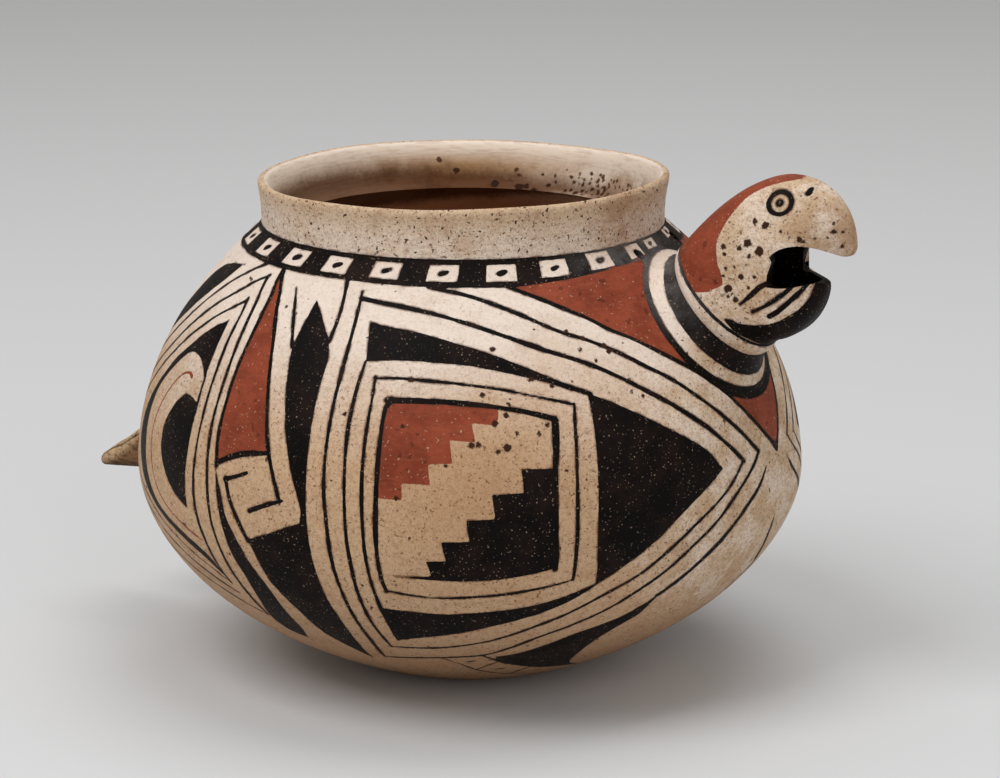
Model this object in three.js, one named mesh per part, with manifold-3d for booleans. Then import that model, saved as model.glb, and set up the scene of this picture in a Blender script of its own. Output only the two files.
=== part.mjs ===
// A coil-built pottery jar with an upright collar, a modelled macaw head and a small tail lug.
// Millimetres, +Z up. The origin is the centre of the flat resting face; the head looks along +X.
// Each mass of clay that the potter adds is a solid of its own: the dish that the jar is begun in,
// the coils that raise the wall, the collar and its lip, and the pieces of the bird.

import * as THREE from 'three';
import { mergeVertices } from 'three/addons/utils/BufferGeometryUtils.js';
import Module from 'manifold-3d';

const wasm = await Module();
wasm.setup();

// The jar's outline
const BASE_RADIUS = 30;
const BELLY_RADIUS = 100.4;
const BELLY_HEIGHT = 63;
const FOOT_RADIUS = 60.4;
const FOOT_HEIGHT = 134.6;
const LOWER_FULLNESS = 1.48;
const SHOULDER_FULLNESS = 2.08;
const MOUTH_SHIFT = 2;
const DISH_STEPS = 5;
const FACE_HEIGHT = 7.3;

// The clay: wall, floor and how it is divided into coils
const WALL = 5.5;
const FLOOR = 6.5;
const DISH_HEIGHT = 20;
const WALL_COILS = 6;
const BORE_MARGIN = 3;

// The collar and its lip, above the shoulder
const COLLAR_HEIGHT = 7;
const COLLAR_WALL = 5;
const LIP_HEIGHT = 7.2;
const LIP_FLARE = 1;
const LIP_THICKNESS = 4.4;
const LIP_TILT = 0.95;
const COLLAR_FLARE = 0.4;
const LIP_STEPS = 4;

// The two cord holes, just under the collar. They sit either side of an angle that is a little past
// the head's.
const CORD_HOLE_RADIUS = 1.8;
const CORD_HOLE_ANGLE = 13.2;
const CORD_HOLE_SHIFT = 3.8;
const CORD_HOLE_DROP = 2.9;
const CORD_HOLE_TILT = 20;
const HOLE_ROUND = 24;

// The neck: a short wide tube that leans up from the shoulder, with a raised ring at its end. Its
// middle is on the wall, at its drop below the collar's foot.
const NECK_DROP = 21.2;
const NECK_ROOT_RADIUS = 24.3;
const NECK_FLARE = 1.8;
const NECK_WAIST_RADIUS = 18.9;
const NECK_BEND_SHARE = 0.4;
const NECK_BEND_NARROWING = 0.6;
const NECK_WAIST_SHARE = 0.8;
const NECK_BORE_RADIUS = 13;
const NECK_REACH = 8.5;
const NECK_RISE = 56.5;
const RING_RADIUS = 20;
const RING_LENGTH = 3.4;
const RING_TILT = 45;
const RING_CREST_START = 0.35;
const RING_CREST_END = 0.75;

// The head, measured along X and Z from the centre of the ring's outer face
const HEAD_RADIUS = 19.4;
const HEAD_WALL = 4.6;
const FACE_REACH = 18.3;
const CREST_RISE = 36.1;
const CROWN_REACH = 5;
const CROWN_RISE = 35.6;
const CHIN_DROP = 10.9;
const CHEEK_HALF = 16;
const CHEEK_SQUARENESS = 3;
const MOUTH_LOW = 6.4;
const MOUTH_HIGH = 14.8;

// The upper beak, from the face forward, and the bill's tip
const BEAK_REACH = 21;
const BEAK_FULLNESS = 2.2;
const BEAK_DROOP = 0.4;
const BEAK_TIP_LENGTH = 2.4;
const BEAK_TIP_HALF = 3;
const BEAK_TIP_SQUARENESS = 2.2;
const BEAK_NARROWING = 1.3;
const PALATE_REACH = 0.6;
const PALATE_ARCH = 2.2;

// The lower beak, a scoop that ends short of the upper one
const SCOOP_REACH = 12.9;
const SCOOP_FULLNESS = 1.45;
const SCOOP_TIP_LENGTH = 2;
const SCOOP_TIP_HALF = 3.2;

// The tail lug, opposite the head
const TAIL_UNDERSIDE = 44.8;
const TAIL_ROOT_TOP = 74;
const TAIL_REACH = 36.4;
const TAIL_ROOT_HALF = 13;
const TAIL_TIP_HALF = 2.6;
const TAIL_TIP_DROP = 1.5;
const TAIL_TIP_DEPTH = 3;
const TAIL_SQUARENESS = 2.5;
const TAIL_STEPS = 5;

// Fit and fineness. A root is drawn this many walls deep into the jar before it is cut to seat.
const SEAT_GAP = 0.3;
const ROOT_SINK = 2.5;
const SEAT_STEPS = 24;
const ROUND = 48;
const HEAD_ROUND = 32;
const HEAD_STEPS = 7;
const BEAK_STEPS = 8;

const CREAM = 0xdccbb2;
const BUFF = 0xa9845a;
const BLACK = 0x28221f;
const SLIP_ROUGHNESS = 0.7;
const PAINT_ROUGHNESS = 0.6;
const BARE_ROUGHNESS = 0.85;

const radians = THREE.MathUtils.degToRad;
const lerp = THREE.MathUtils.lerp;
const shares = (steps) => Array.from({ length: steps + 1 }, (_, i) => i / steps);

// Outer radius of the jar at a height: a full curve up to the belly, a falling one to the collar
function outerRadius(z) {
  if (z < BELLY_HEIGHT) {
    const below = (BELLY_HEIGHT - Math.max(z, 0)) / BELLY_HEIGHT;
    const full = BELLY_RADIUS ** LOWER_FULLNESS;
    const lost = (full - BASE_RADIUS ** LOWER_FULLNESS) * below ** 2;
    return (full - lost) ** (1 / LOWER_FULLNESS);
  }
  const above = (z - BELLY_HEIGHT) / (FOOT_HEIGHT - BELLY_HEIGHT);
  return BELLY_RADIUS - (BELLY_RADIUS - FOOT_RADIUS) * above ** SHOULDER_FULLNESS;
}

// Change of the outer radius per millimetre of height
function outerSlope(z) {
  const step = 0.05;
  return (outerRadius(z + step) - outerRadius(z - step)) / (2 * step);
}

// Inner radius at a height, one wall's thickness in along the wall's own normal
function innerRadius(z) {
  return outerRadius(z) - WALL * Math.hypot(1, outerSlope(z));
}

// Elevation of the outward normal of the wall, in radians
function wallTilt(z) {
  return Math.atan(-outerSlope(z));
}

// How far the jar's axis has wandered at a height: the mouth sits a little back from the head
function wander(z) {
  const share = (Math.min(z, FOOT_HEIGHT) - BELLY_HEIGHT) / (FOOT_HEIGHT - BELLY_HEIGHT);
  return -MOUTH_SHIFT * Math.max(share, 0) ** 2;
}

// Shifts every vertex by the wander at its height
function wandering(geometry) {
  const place = geometry.getAttribute('position');
  for (let i = 0; i < place.count; i += 1) {
    place.setX(i, place.getX(i) + wander(place.getZ(i)));
  }
  return geometry;
}

function signedVolume(place, index) {
  const [a, b, c] = [new THREE.Vector3(), new THREE.Vector3(), new THREE.Vector3()];
  let volume = 0;
  for (let i = 0; i < index.length; i += 3) {
    a.fromBufferAttribute(place, index[i]);
    b.fromBufferAttribute(place, index[i + 1]);
    c.fromBufferAttribute(place, index[i + 2]);
    volume += a.dot(b.cross(c)) / 6;
  }
  return volume;
}

// The same mesh with its shared vertices merged, no collapsed faces, and its faces turned outwards
function merged(geometry) {
  geometry.deleteAttribute('normal');
  geometry.deleteAttribute('uv');
  const shared = mergeVertices(geometry, 1e-5);
  const all = Array.from(shared.index.array);
  const kept = [];
  for (let i = 0; i < all.length; i += 3) {
    const [a, b, c] = all.slice(i, i + 3);
    if (a !== b && b !== c && c !== a) kept.push(a, b, c);
  }
  if (signedVolume(shared.getAttribute('position'), kept) < 0) kept.reverse();
  shared.setIndex(kept);
  return shared;
}

function toSolid(geometry) {
  const vertProperties = new Float32Array(geometry.getAttribute('position').array);
  const triVerts = new Uint32Array(geometry.index.array);
  return new wasm.Manifold(new wasm.Mesh({ numProp: 3, vertProperties, triVerts }));
}

function toGeometry(solid) {
  const mesh = solid.getMesh();
  const geometry = new THREE.BufferGeometry();
  geometry.setAttribute('position', new THREE.BufferAttribute(mesh.vertProperties, 3));
  geometry.setIndex(new THREE.BufferAttribute(mesh.triVerts, 1));
  return geometry;
}

function cut(geometry, ...tools) {
  return toGeometry(tools.reduce((left, tool) => left.subtract(toSolid(tool)), toSolid(geometry)));
}

// A turned solid from a profile of [radius, height] points, which closes on itself
function turned(profile) {
  const points = [...profile, profile[0]].map(([r, z]) => new THREE.Vector2(r, z));
  const geometry = new THREE.LatheGeometry(points, ROUND);
  geometry.rotateX(Math.PI / 2);
  return wandering(merged(geometry));
}

function jarProfile(from, to, steps, radius) {
  return shares(steps).map((share) => [radius(lerp(from, to, share)), lerp(from, to, share)]);
}

function fanCap(count) {
  return Array.from({ length: count - 2 }, (_, i) => [0, i + 1, i + 2]);
}

// Triangles between the outer half of a loop and the inner half that runs back along it
function pairedCap(count) {
  const faces = [];
  for (let i = 0; i < count / 2 - 1; i += 1) {
    const back = count - 1 - i;
    faces.push([i, i + 1, back], [i + 1, back - 1, back]);
  }
  return faces;
}

// A solid through a row of loops with equal counts of points. With no cap, the last loop joins the
// first; otherwise the cap gives the triangles that close the two ends.
function loft(loops, cap = null) {
  const count = loops[0].length;
  const places = loops.flat().flatMap((p) => [p.x, p.y, p.z]);
  const index = [];
  for (let row = 0; row < (cap ? loops.length - 1 : loops.length); row += 1) {
    const near = row * count;
    const far = ((row + 1) % loops.length) * count;
    for (let i = 0; i < count; i += 1) {
      const next = (i + 1) % count;
      index.push(near + i, near + next, far + next, near + i, far + next, far + i);
    }
  }
  const last = (loops.length - 1) * count;
  for (const [a, b, c] of cap ? cap(count) : []) {
    index.push(c, b, a, last + a, last + b, last + c);
  }
  const geometry = new THREE.BufferGeometry();
  geometry.setAttribute('position', new THREE.Float32BufferAttribute(places, 3));
  geometry.setIndex(index);
  return merged(geometry);
}

// A tube whose wall lies between rows of outer and inner loops
function tube(outer, inner) {
  return loft([...outer, ...inner.reverse()]);
}

// The shallow dish with the flat resting face that the jar is begun in
function baseDish() {
  const outside = jarProfile(0, DISH_HEIGHT, DISH_STEPS, outerRadius);
  const inside = jarProfile(DISH_HEIGHT, FLOOR, DISH_STEPS - 2, innerRadius);
  return turned([[0, 0], ...outside, ...inside, [0, FLOOR]]);
}

function coil(from, to) {
  const steps = Math.ceil((to - from) / FACE_HEIGHT);
  const outside = jarProfile(from, to, steps, outerRadius);
  const inside = jarProfile(to, from, steps, innerRadius);
  return turned([...outside, ...inside]);
}

const collarTop = FOOT_HEIGHT + COLLAR_HEIGHT;
const lipRadius = FOOT_RADIUS + LIP_FLARE;
const lipLowRadius = FOOT_RADIUS + COLLAR_FLARE;

function collarCoil() {
  const waist = lerp(FOOT_HEIGHT, collarTop, 0.5);
  return turned([
    [FOOT_RADIUS, FOOT_HEIGHT],
    [FOOT_RADIUS, waist],
    [lipLowRadius, collarTop],
    [lipLowRadius - COLLAR_WALL, collarTop],
    [FOOT_RADIUS - COLLAR_WALL, waist],
    [innerRadius(FOOT_HEIGHT), FOOT_HEIGHT],
  ]);
}

// The lip: rounded along its top, and a little higher on the head's side
function lipCoil() {
  const high = collarTop + LIP_HEIGHT;
  const half = LIP_THICKNESS / 2;
  const crown = shares(LIP_STEPS).map((share) => [
    lipRadius - half + half * Math.cos(Math.PI * share),
    high - half + half * Math.sin(Math.PI * share),
  ]);
  const geometry = turned([
    [lipLowRadius, collarTop],
    ...crown,
    [lipLowRadius - COLLAR_WALL, collarTop],
  ]);
  const place = geometry.getAttribute('position');
  const slope = Math.tan(radians(LIP_TILT));
  for (let i = 0; i < place.count; i += 1) {
    const share = (place.getZ(i) - collarTop) / LIP_HEIGHT;
    place.setZ(i, place.getZ(i) + slope * place.getX(i) * share);
  }
  return geometry;
}

// A round bar that leans up by a tilt where it leaves the wall, at a height and an angle from +X
function piercer(radius, height, angle, tilt) {
  const bar = new THREE.CylinderGeometry(radius, radius, 2 * (ROOT_SINK * WALL + radius), HOLE_ROUND);
  bar.rotateZ(tilt - Math.PI / 2);
  bar.rotateX(Math.PI / 2);
  bar.translate(outerRadius(height), 0, height);
  bar.rotateZ(angle);
  bar.translate(wander(height), 0, 0);
  return merged(bar);
}

// The jar's outside as a solid, swollen by the seating gap: what seats on the wall is cut by it
function seatingForm() {
  const swollen = (z) => outerRadius(z) + SEAT_GAP * Math.hypot(1, outerSlope(z));
  const lipTop = collarTop + LIP_HEIGHT;
  return turned([
    [0, 0],
    ...jarProfile(0, FOOT_HEIGHT, SEAT_STEPS, swollen),
    [Math.max(FOOT_RADIUS, lipRadius) + SEAT_GAP, lipTop],
    [0, lipTop],
  ]);
}

// A loop round a section of the bird, in a plane square to the jar's middle plane. top and bottom
// are its [x, z] ends, and half is half its thickness. middle is where it is thickest, as a share of
// the way up; straight is how far each way from there its sides stay flat; and a higher power makes
// its corners squarer.
function section(top, bottom, half, { power = 2, straight = 0, middle = 0.5, inset = 0 } = {}) {
  const tall = Math.hypot(top[0] - bottom[0], top[1] - bottom[1]);
  const along = [(top[0] - bottom[0]) / tall, (top[1] - bottom[1]) / tall];
  return shares(HEAD_ROUND).slice(1).map((turn) => {
    const angle = 2 * Math.PI * turn;
    const side = Math.sin(angle) >= 0 ? 1 - middle : middle;
    const reach = straight + rounded(Math.abs(Math.sin(angle)), power) * (side * tall - straight - inset);
    const rise = middle * tall + Math.sign(Math.sin(angle)) * reach;
    const out = rounded(Math.cos(angle), power) * (half - inset);
    return new THREE.Vector3(bottom[0] + along[0] * rise, out, bottom[1] + along[1] * rise);
  });
}

function rounded(value, power) {
  return Math.sign(value) * Math.abs(value) ** (2 / power);
}

// The neck's sections turn from the wall's slant to the ring's tilt as they climb
const neckHeight = FOOT_HEIGHT - NECK_DROP;
const neckTilt = wallTilt(neckHeight);
const wallPoint = [outerRadius(neckHeight) + wander(neckHeight), neckHeight];
const ringCentre = [
  wallPoint[0] + NECK_REACH * Math.cos(radians(NECK_RISE)),
  wallPoint[1] + NECK_REACH * Math.sin(radians(NECK_RISE)),
];

function neckSection(share, radius) {
  const x = lerp(wallPoint[0], ringCentre[0], share);
  const z = lerp(wallPoint[1], ringCentre[1], share);
  const tilt = lerp(neckTilt, radians(RING_TILT), Math.max(share, 0));
  const [across, up] = [Math.sin(tilt) * radius, Math.cos(tilt) * radius];
  return section([x - across, z + up], [x + across, z - up], radius);
}

// The share of the neck's climb at which its tube ends and the ring begins
const ringStart = 1 - RING_LENGTH / NECK_REACH;

function neckTube() {
  const sunk = -ROOT_SINK * WALL / NECK_REACH;
  const bendRadius = lerp(NECK_ROOT_RADIUS, NECK_WAIST_RADIUS, NECK_BEND_NARROWING);
  const outer = [
    neckSection(sunk, NECK_ROOT_RADIUS + NECK_FLARE),
    neckSection(0, NECK_ROOT_RADIUS),
    neckSection(ringStart * NECK_BEND_SHARE, bendRadius),
    neckSection(ringStart * NECK_WAIST_SHARE, NECK_WAIST_RADIUS),
    neckSection(ringStart, NECK_WAIST_RADIUS),
  ];
  const inner = [sunk, 0, ringStart].map((share) => neckSection(share, NECK_BORE_RADIUS));
  return cut(tube(outer, inner), seatingForm());
}

function neckRing() {
  const start = ringStart + SEAT_GAP / NECK_REACH;
  const outer = [
    neckSection(start, NECK_WAIST_RADIUS),
    neckSection(lerp(start, 1, RING_CREST_START), RING_RADIUS),
    neckSection(lerp(start, 1, RING_CREST_END), RING_RADIUS),
    neckSection(1, HEAD_RADIUS),
  ];
  const inner = [start, 1].map((share) => neckSection(share, NECK_BORE_RADIUS));
  return tube(outer, inner);
}

const mouthMiddle = (MOUTH_LOW + MOUTH_HIGH) / 2;
const mouthHalf = (MOUTH_HIGH - MOUTH_LOW) / 2;

// The head's sections fan out round the throat, from the ring's face to the upright face that the
// beak's two parts stand against. Its crown follows a curve drawn to the crown's corner point.
function headSection(share, inset) {
  const tilt = radians(RING_TILT);
  const nape = [-HEAD_RADIUS * Math.sin(tilt), HEAD_RADIUS * Math.cos(tilt)];
  const throat = [HEAD_RADIUS * Math.sin(tilt), -HEAD_RADIUS * Math.cos(tilt)];
  const top = bend(nape, [CROWN_REACH, CROWN_RISE], [FACE_REACH, CREST_RISE], share);
  const bottom = [lerp(throat[0], FACE_REACH, share), lerp(throat[1], -CHIN_DROP, share)];
  const faceMiddle = (mouthMiddle + CHIN_DROP) / (CREST_RISE + CHIN_DROP);
  return section(top, bottom, lerp(HEAD_RADIUS, CHEEK_HALF, share), {
    power: lerp(2, CHEEK_SQUARENESS, share),
    straight: mouthHalf * share,
    middle: lerp(0.5, faceMiddle, share),
    inset,
  });
}

// A point on the curve that leaves a towards b and arrives at c from it
function bend(a, b, c, share) {
  return [0, 1].map((i) => lerp(lerp(a[i], b[i], share), lerp(b[i], c[i], share), share));
}

function headShell() {
  const outer = shares(HEAD_STEPS).map((share) => headSection(share, 0));
  const inner = shares(HEAD_STEPS).map((share) => headSection(share, HEAD_WALL));
  return tube(outer, inner);
}

// An arched loop across a beak: over its ridge from edge to edge, and back round its hollow. root
// and ridge are the section's [x, z] ends in the middle plane, and depth the hollow's share.
function archLoop(root, ridge, half, power, depth) {
  const arc = (wide, tall) => shares(HEAD_ROUND / 2).map((turn) => {
    const rise = rounded(Math.max(Math.sin(Math.PI * turn), 0), power) * tall;
    const out = rounded(Math.cos(Math.PI * turn), power) * wide;
    return new THREE.Vector3(lerp(root[0], ridge[0], rise), out, lerp(root[1], ridge[1], rise));
  });
  const tall = Math.hypot(ridge[0] - root[0], ridge[1] - root[1]);
  const hollow = Math.max(1 - HEAD_WALL / tall, 0) * depth;
  return [...arc(half, 1), ...arc(half - Math.min(HEAD_WALL, half / 2), hollow).reverse()];
}

// The upper beak: a hook, hollow under its root as the palate, solid at its tip
function upperBeak() {
  const tall = CREST_RISE - MOUTH_HIGH + BEAK_DROOP;
  return loft(shares(BEAK_STEPS).map((share) => {
    const turn = share * Math.PI / 2;
    const x = FACE_REACH + BEAK_REACH * rounded(Math.sin(turn), BEAK_FULLNESS);
    const z = MOUTH_HIGH - BEAK_DROOP + tall * rounded(Math.cos(turn), BEAK_FULLNESS);
    const root = [
      lerp(FACE_REACH, FACE_REACH + BEAK_REACH - BEAK_TIP_LENGTH, share),
      MOUTH_HIGH + PALATE_ARCH * Math.sin(Math.PI * share) - BEAK_DROOP * share,
    ];
    const half = lerp(CHEEK_HALF, BEAK_TIP_HALF, share ** BEAK_NARROWING);
    const depth = Math.max(1 - share / PALATE_REACH, 0);
    const power = lerp(CHEEK_SQUARENESS, BEAK_TIP_SQUARENESS, share);
    return archLoop(root, [x, z], half, power, depth);
  }), pairedCap);
}

// The lower beak: a scoop that the jaw's outline bounds below
function lowerBeak() {
  const tall = MOUTH_LOW + CHIN_DROP;
  return loft(shares(BEAK_STEPS).map((share) => {
    const turn = share * Math.PI / 2;
    const x = FACE_REACH + SCOOP_REACH * rounded(Math.sin(turn), SCOOP_FULLNESS);
    const z = MOUTH_LOW - tall * rounded(Math.cos(turn), SCOOP_FULLNESS);
    const root = [lerp(FACE_REACH, FACE_REACH + SCOOP_REACH - SCOOP_TIP_LENGTH, share), MOUTH_LOW];
    const half = lerp(CHEEK_HALF, SCOOP_TIP_HALF, share ** BEAK_NARROWING);
    const depth = Math.max(1 - share, 0);
    const power = lerp(CHEEK_SQUARENESS, BEAK_TIP_SQUARENESS, share);
    return archLoop(root, [x, z - share], half, power, depth);
  }), pairedCap);
}

// The tail lug: nearly level below, falling in a straight line above, and cut to seat on the wall
function tailLug() {
  const wallX = -outerRadius(TAIL_UNDERSIDE);
  const start = wallX + ROOT_SINK * WALL;
  const tipX = wallX - TAIL_REACH;
  const tipLow = TAIL_UNDERSIDE - TAIL_TIP_DROP;
  const tipTop = tipLow + TAIL_TIP_DEPTH;
  const taper = (x, atWall, atTip) => lerp(atWall, atTip, (x - wallX) / (tipX - wallX));
  const loops = shares(TAIL_STEPS).map((share) => {
    const x = lerp(start, tipX, share);
    const half = taper(x, TAIL_ROOT_HALF, TAIL_TIP_HALF);
    const top = [x, taper(x, TAIL_ROOT_TOP, tipTop)];
    const bottom = [x, taper(x, TAIL_UNDERSIDE, tipLow)];
    return section(top, bottom, half, { power: TAIL_SQUARENESS });
  });
  return cut(loft(loops, fanCap), seatingForm());
}

function clay(name, geometry, color, roughness) {
  const shown = geometry.toNonIndexed();
  shown.computeVertexNormals();
  const finish = new THREE.MeshStandardMaterial({ color, roughness, metalness: 0 });
  const piece = new THREE.Mesh(shown, finish);
  piece.name = name;
  return piece;
}

// Heights of the joints between the courses. The neck's bore lies inside the first course of the
// shoulder and the cord holes inside the second, with clay round them.
function courseJoints() {
  const boreHalf = NECK_BORE_RADIUS * Math.cos(neckTilt);
  const boreFoot = neckHeight - boreHalf - WALL * Math.sin(neckTilt);
  const holeFall = WALL * Math.sin(radians(CORD_HOLE_TILT));
  const holeFoot = FOOT_HEIGHT - CORD_HOLE_DROP - CORD_HOLE_RADIUS - holeFall;
  return [
    ...shares(WALL_COILS).map((share) => lerp(DISH_HEIGHT, boreFoot - BORE_MARGIN, share)),
    (neckHeight + boreHalf + holeFoot) / 2,
    FOOT_HEIGHT,
  ];
}

function jar() {
  const group = new THREE.Group();
  const joints = courseJoints();
  const bore = piercer(NECK_BORE_RADIUS, neckHeight, 0, neckTilt);
  const cordHoles = [-1, 1].map((side) => piercer(
    CORD_HOLE_RADIUS,
    FOOT_HEIGHT - CORD_HOLE_DROP,
    radians(side * CORD_HOLE_ANGLE + CORD_HOLE_SHIFT),
    radians(CORD_HOLE_TILT),
  ));
  group.add(clay('base_dish', baseDish(), CREAM, SLIP_ROUGHNESS));
  for (let i = 0; i < WALL_COILS; i += 1) {
    group.add(clay(`wall_coil_${i + 1}`, coil(joints[i], joints[i + 1]), CREAM, SLIP_ROUGHNESS));
  }
  const [low, middle, high] = joints.slice(WALL_COILS);
  group.add(clay('shoulder_coil_1', cut(coil(low, middle), bore), CREAM, SLIP_ROUGHNESS));
  group.add(clay('shoulder_coil_2', cut(coil(middle, high), ...cordHoles), CREAM, SLIP_ROUGHNESS));
  group.add(clay('collar_coil', collarCoil(), CREAM, SLIP_ROUGHNESS));
  group.add(clay('lip_coil', lipCoil(), CREAM, SLIP_ROUGHNESS));
  return group;
}

function neck() {
  const group = new THREE.Group();
  group.add(clay('neck_tube', neckTube(), BLACK, PAINT_ROUGHNESS));
  group.add(clay('neck_ring', neckRing(), CREAM, SLIP_ROUGHNESS));
  return group;
}

function head() {
  const group = new THREE.Group();
  const tilt = radians(RING_TILT);
  group.position.set(
    ringCentre[0] + SEAT_GAP * Math.cos(tilt),
    0,
    ringCentre[1] + SEAT_GAP * Math.sin(tilt),
  );
  group.add(clay('head_shell', headShell(), CREAM, SLIP_ROUGHNESS));
  group.add(clay('upper_beak', upperBeak(), CREAM, SLIP_ROUGHNESS));
  group.add(clay('lower_beak', lowerBeak(), BLACK, PAINT_ROUGHNESS));
  return group;
}

const macawJar = new THREE.Group();
macawJar.add(jar(), neck(), head(), clay('tail_lug', tailLug(), BUFF, BARE_ROUGHNESS));

export default macawJar;
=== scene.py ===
"""Looks of a coil-built pottery jar with a modelled macaw head and a painted geometric pattern.

Lengths are in millimetres until a mesh is written, where they become metres. Every piece stands for
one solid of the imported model, and neighbouring pieces share their edge points, so the jar reads as
one fired vessel.
"""

import logging
from dataclasses import dataclass, field
from enum import Enum

import bpy
import numpy as np
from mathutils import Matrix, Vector


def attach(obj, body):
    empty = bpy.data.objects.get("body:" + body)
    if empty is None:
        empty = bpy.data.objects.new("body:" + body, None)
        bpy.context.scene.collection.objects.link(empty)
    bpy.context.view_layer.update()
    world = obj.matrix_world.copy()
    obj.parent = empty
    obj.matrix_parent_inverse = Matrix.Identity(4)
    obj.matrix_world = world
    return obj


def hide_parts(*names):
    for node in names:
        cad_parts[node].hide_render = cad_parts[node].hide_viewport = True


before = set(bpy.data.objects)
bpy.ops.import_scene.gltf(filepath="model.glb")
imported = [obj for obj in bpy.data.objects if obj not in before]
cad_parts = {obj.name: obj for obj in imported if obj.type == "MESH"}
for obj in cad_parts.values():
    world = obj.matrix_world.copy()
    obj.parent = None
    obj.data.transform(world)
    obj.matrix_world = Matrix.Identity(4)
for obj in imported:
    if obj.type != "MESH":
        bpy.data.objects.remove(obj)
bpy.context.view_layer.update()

log = logging.getLogger("macaw_jar")

MM = 0.001
BODY = "root"
COLUMNS = 1200
COARSE_COLUMNS = 300
ROW_STEP = 0.6
COARSE_ROW_STEP = 2.4
# Distances to the edges of the paint are held between this and its negative, in mm
FAR = 4.0
# Points whose distances are measured at once, and the angle in degrees from which an edge is sharp
BATCH = 20000
SHARP_FROM = 50.0
# Seeds of the wall's unevenness, of the brush and of the scattered spots
SWELL_SEED, BRUSH_SEED, SCATTER_SEED = 11, 5, 23
FLECK_EDGE = 0.035
SPECULAR = 0.06
BUMP_STRENGTH = 0.35
BUMP_MM = 0.35

Point = tuple[float, float]
Curve = tuple[Point, ...]
Triple = tuple[float, float, float]
Color = tuple[int, int, int]
Fade = tuple[float, float]
Mark = tuple[Triple, float]
Array = np.ndarray
Material = bpy.types.Material
Socket = bpy.types.NodeSocket


class Paint(Enum):
    """The paints and the burnt spots, named for the attribute with the distance to their edge in mm."""

    BLACK = "black_mm"
    RED = "red_mm"
    SPOT = "spot_mm"


class Slot(Enum):
    """The record's material slots."""

    SLIP = "cream_slip"
    BLACK = "black_paint"
    CLAY = "bare_clay"


# Attributes of an outer surface with no paint on it: inner_mm is the depth under the lip, inside
BARE: dict[str, float] = {"inner_mm": 0.0, **{paint.value: -FAR for paint in Paint}}


# Small shape functions


def smoothstep(low: float, high: float, value: Array) -> Array:
    """Cubic step: 3t^2 - 2t^3, where t runs from 0 at low to 1 at high.

    Args:
        low: value at which the step starts.
        high: value at which it ends.
        value: where it is taken.

    Returns:
        The step, from 0 to 1.
    """
    t = np.clip((np.asarray(value, float) - low) / (high - low), 0.0, 1.0)
    return t * t * (3 - 2 * t)


def through(points: Array, step: float) -> Array:
    """Smooth curve through points: a Catmull-Rom spline, cubic between each pair, whose slope at a
    point is half the difference of its neighbours.

    Args:
        points: rows of coordinates, two at least.
        step: length between the samples, in the points' own unit.

    Returns:
        The samples, with the first and the last point among them.
    """
    p = np.asarray(points, float)
    if len(p) == 2:
        count = max(int(np.ceil(np.linalg.norm(p[1] - p[0]) / step)), 1)
        t = np.linspace(0, 1, count + 1)[:, None]
        return p[0] * (1 - t) + p[1] * t
    full = np.vstack([2 * p[0] - p[1], p, 2 * p[-1] - p[-2]])
    out = []
    for a, b, c, d in zip(full[:-3], full[1:-2], full[2:-1], full[3:]):
        count = max(int(np.ceil(np.linalg.norm(c - b) / step)), 1)
        t = (np.arange(count) / count)[:, None]
        out.append(0.5 * (2 * b + (c - a) * t + (2 * a - 5 * b + 4 * c - d) * t**2
                          + (3 * b - 3 * c + d - a) * t**3))
    return np.vstack([*out, p[-1:]])


def unit(v: Array) -> Array:
    """The vectors in the last axis, scaled to length 1."""
    return v / np.maximum(np.linalg.norm(v, axis=-1, keepdims=True), 1e-12)


def run_along(points: Array) -> Array:
    """Distance along a polyline from its first corner to each."""
    return np.concatenate([[0.0], np.cumsum(np.linalg.norm(np.diff(points, axis=0), axis=1))])


def circle(count: int) -> Array:
    """Angles at even steps round a circle, in radians."""
    return np.arange(count) * 2 * np.pi / count


def inside(x: Array, y: Array, ring: Array) -> Array:
    """Which points lie inside a closed outline, by counting the edges that a ray to +x crosses.

    Args:
        x: first coordinates of the points.
        y: second coordinates.
        ring: corners of the outline, one row each.

    Returns:
        True where a point is inside.
    """
    x0, y0 = ring[:, 0], ring[:, 1]
    x1, y1 = np.roll(x0, -1), np.roll(y0, -1)
    span = np.where(y1 == y0, 1e-12, y1 - y0)
    crossed = (y0 > y[:, None]) != (y1 > y[:, None])
    at = x0 + (y[:, None] - y0) * (x1 - x0) / span
    return (np.sum(crossed & (x[:, None] < at), axis=1) % 2).astype(bool)


def to_chain(places: Array, chain: Array, half: Array) -> Array:
    """Distance from points to a chain of straight links, less the chain's half width there.

    Args:
        places: points in space, one row each.
        chain: the chain's corners in space.
        half: half its width at each corner.

    Returns:
        One distance per point.
    """
    a, ab = chain[:-1], np.diff(chain, axis=0)
    length = np.maximum((ab**2).sum(1), 1e-9)
    best = np.full(len(places), np.inf)
    for start in range(0, len(places), BATCH):
        p = places[start:start + BATCH]
        dx, dy, dz = (p[:, None, i] - a[None, :, i] for i in range(3))
        t = np.clip((dx * ab[:, 0] + dy * ab[:, 1] + dz * ab[:, 2]) / length, 0, 1)
        gap = (dx - t * ab[:, 0])**2 + (dy - t * ab[:, 1])**2 + (dz - t * ab[:, 2])**2
        width = half[:-1] + t * (half[1:] - half[:-1])
        best[start:start + BATCH] = (np.sqrt(gap) - width).min(1)
    return best


# Meshes


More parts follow.
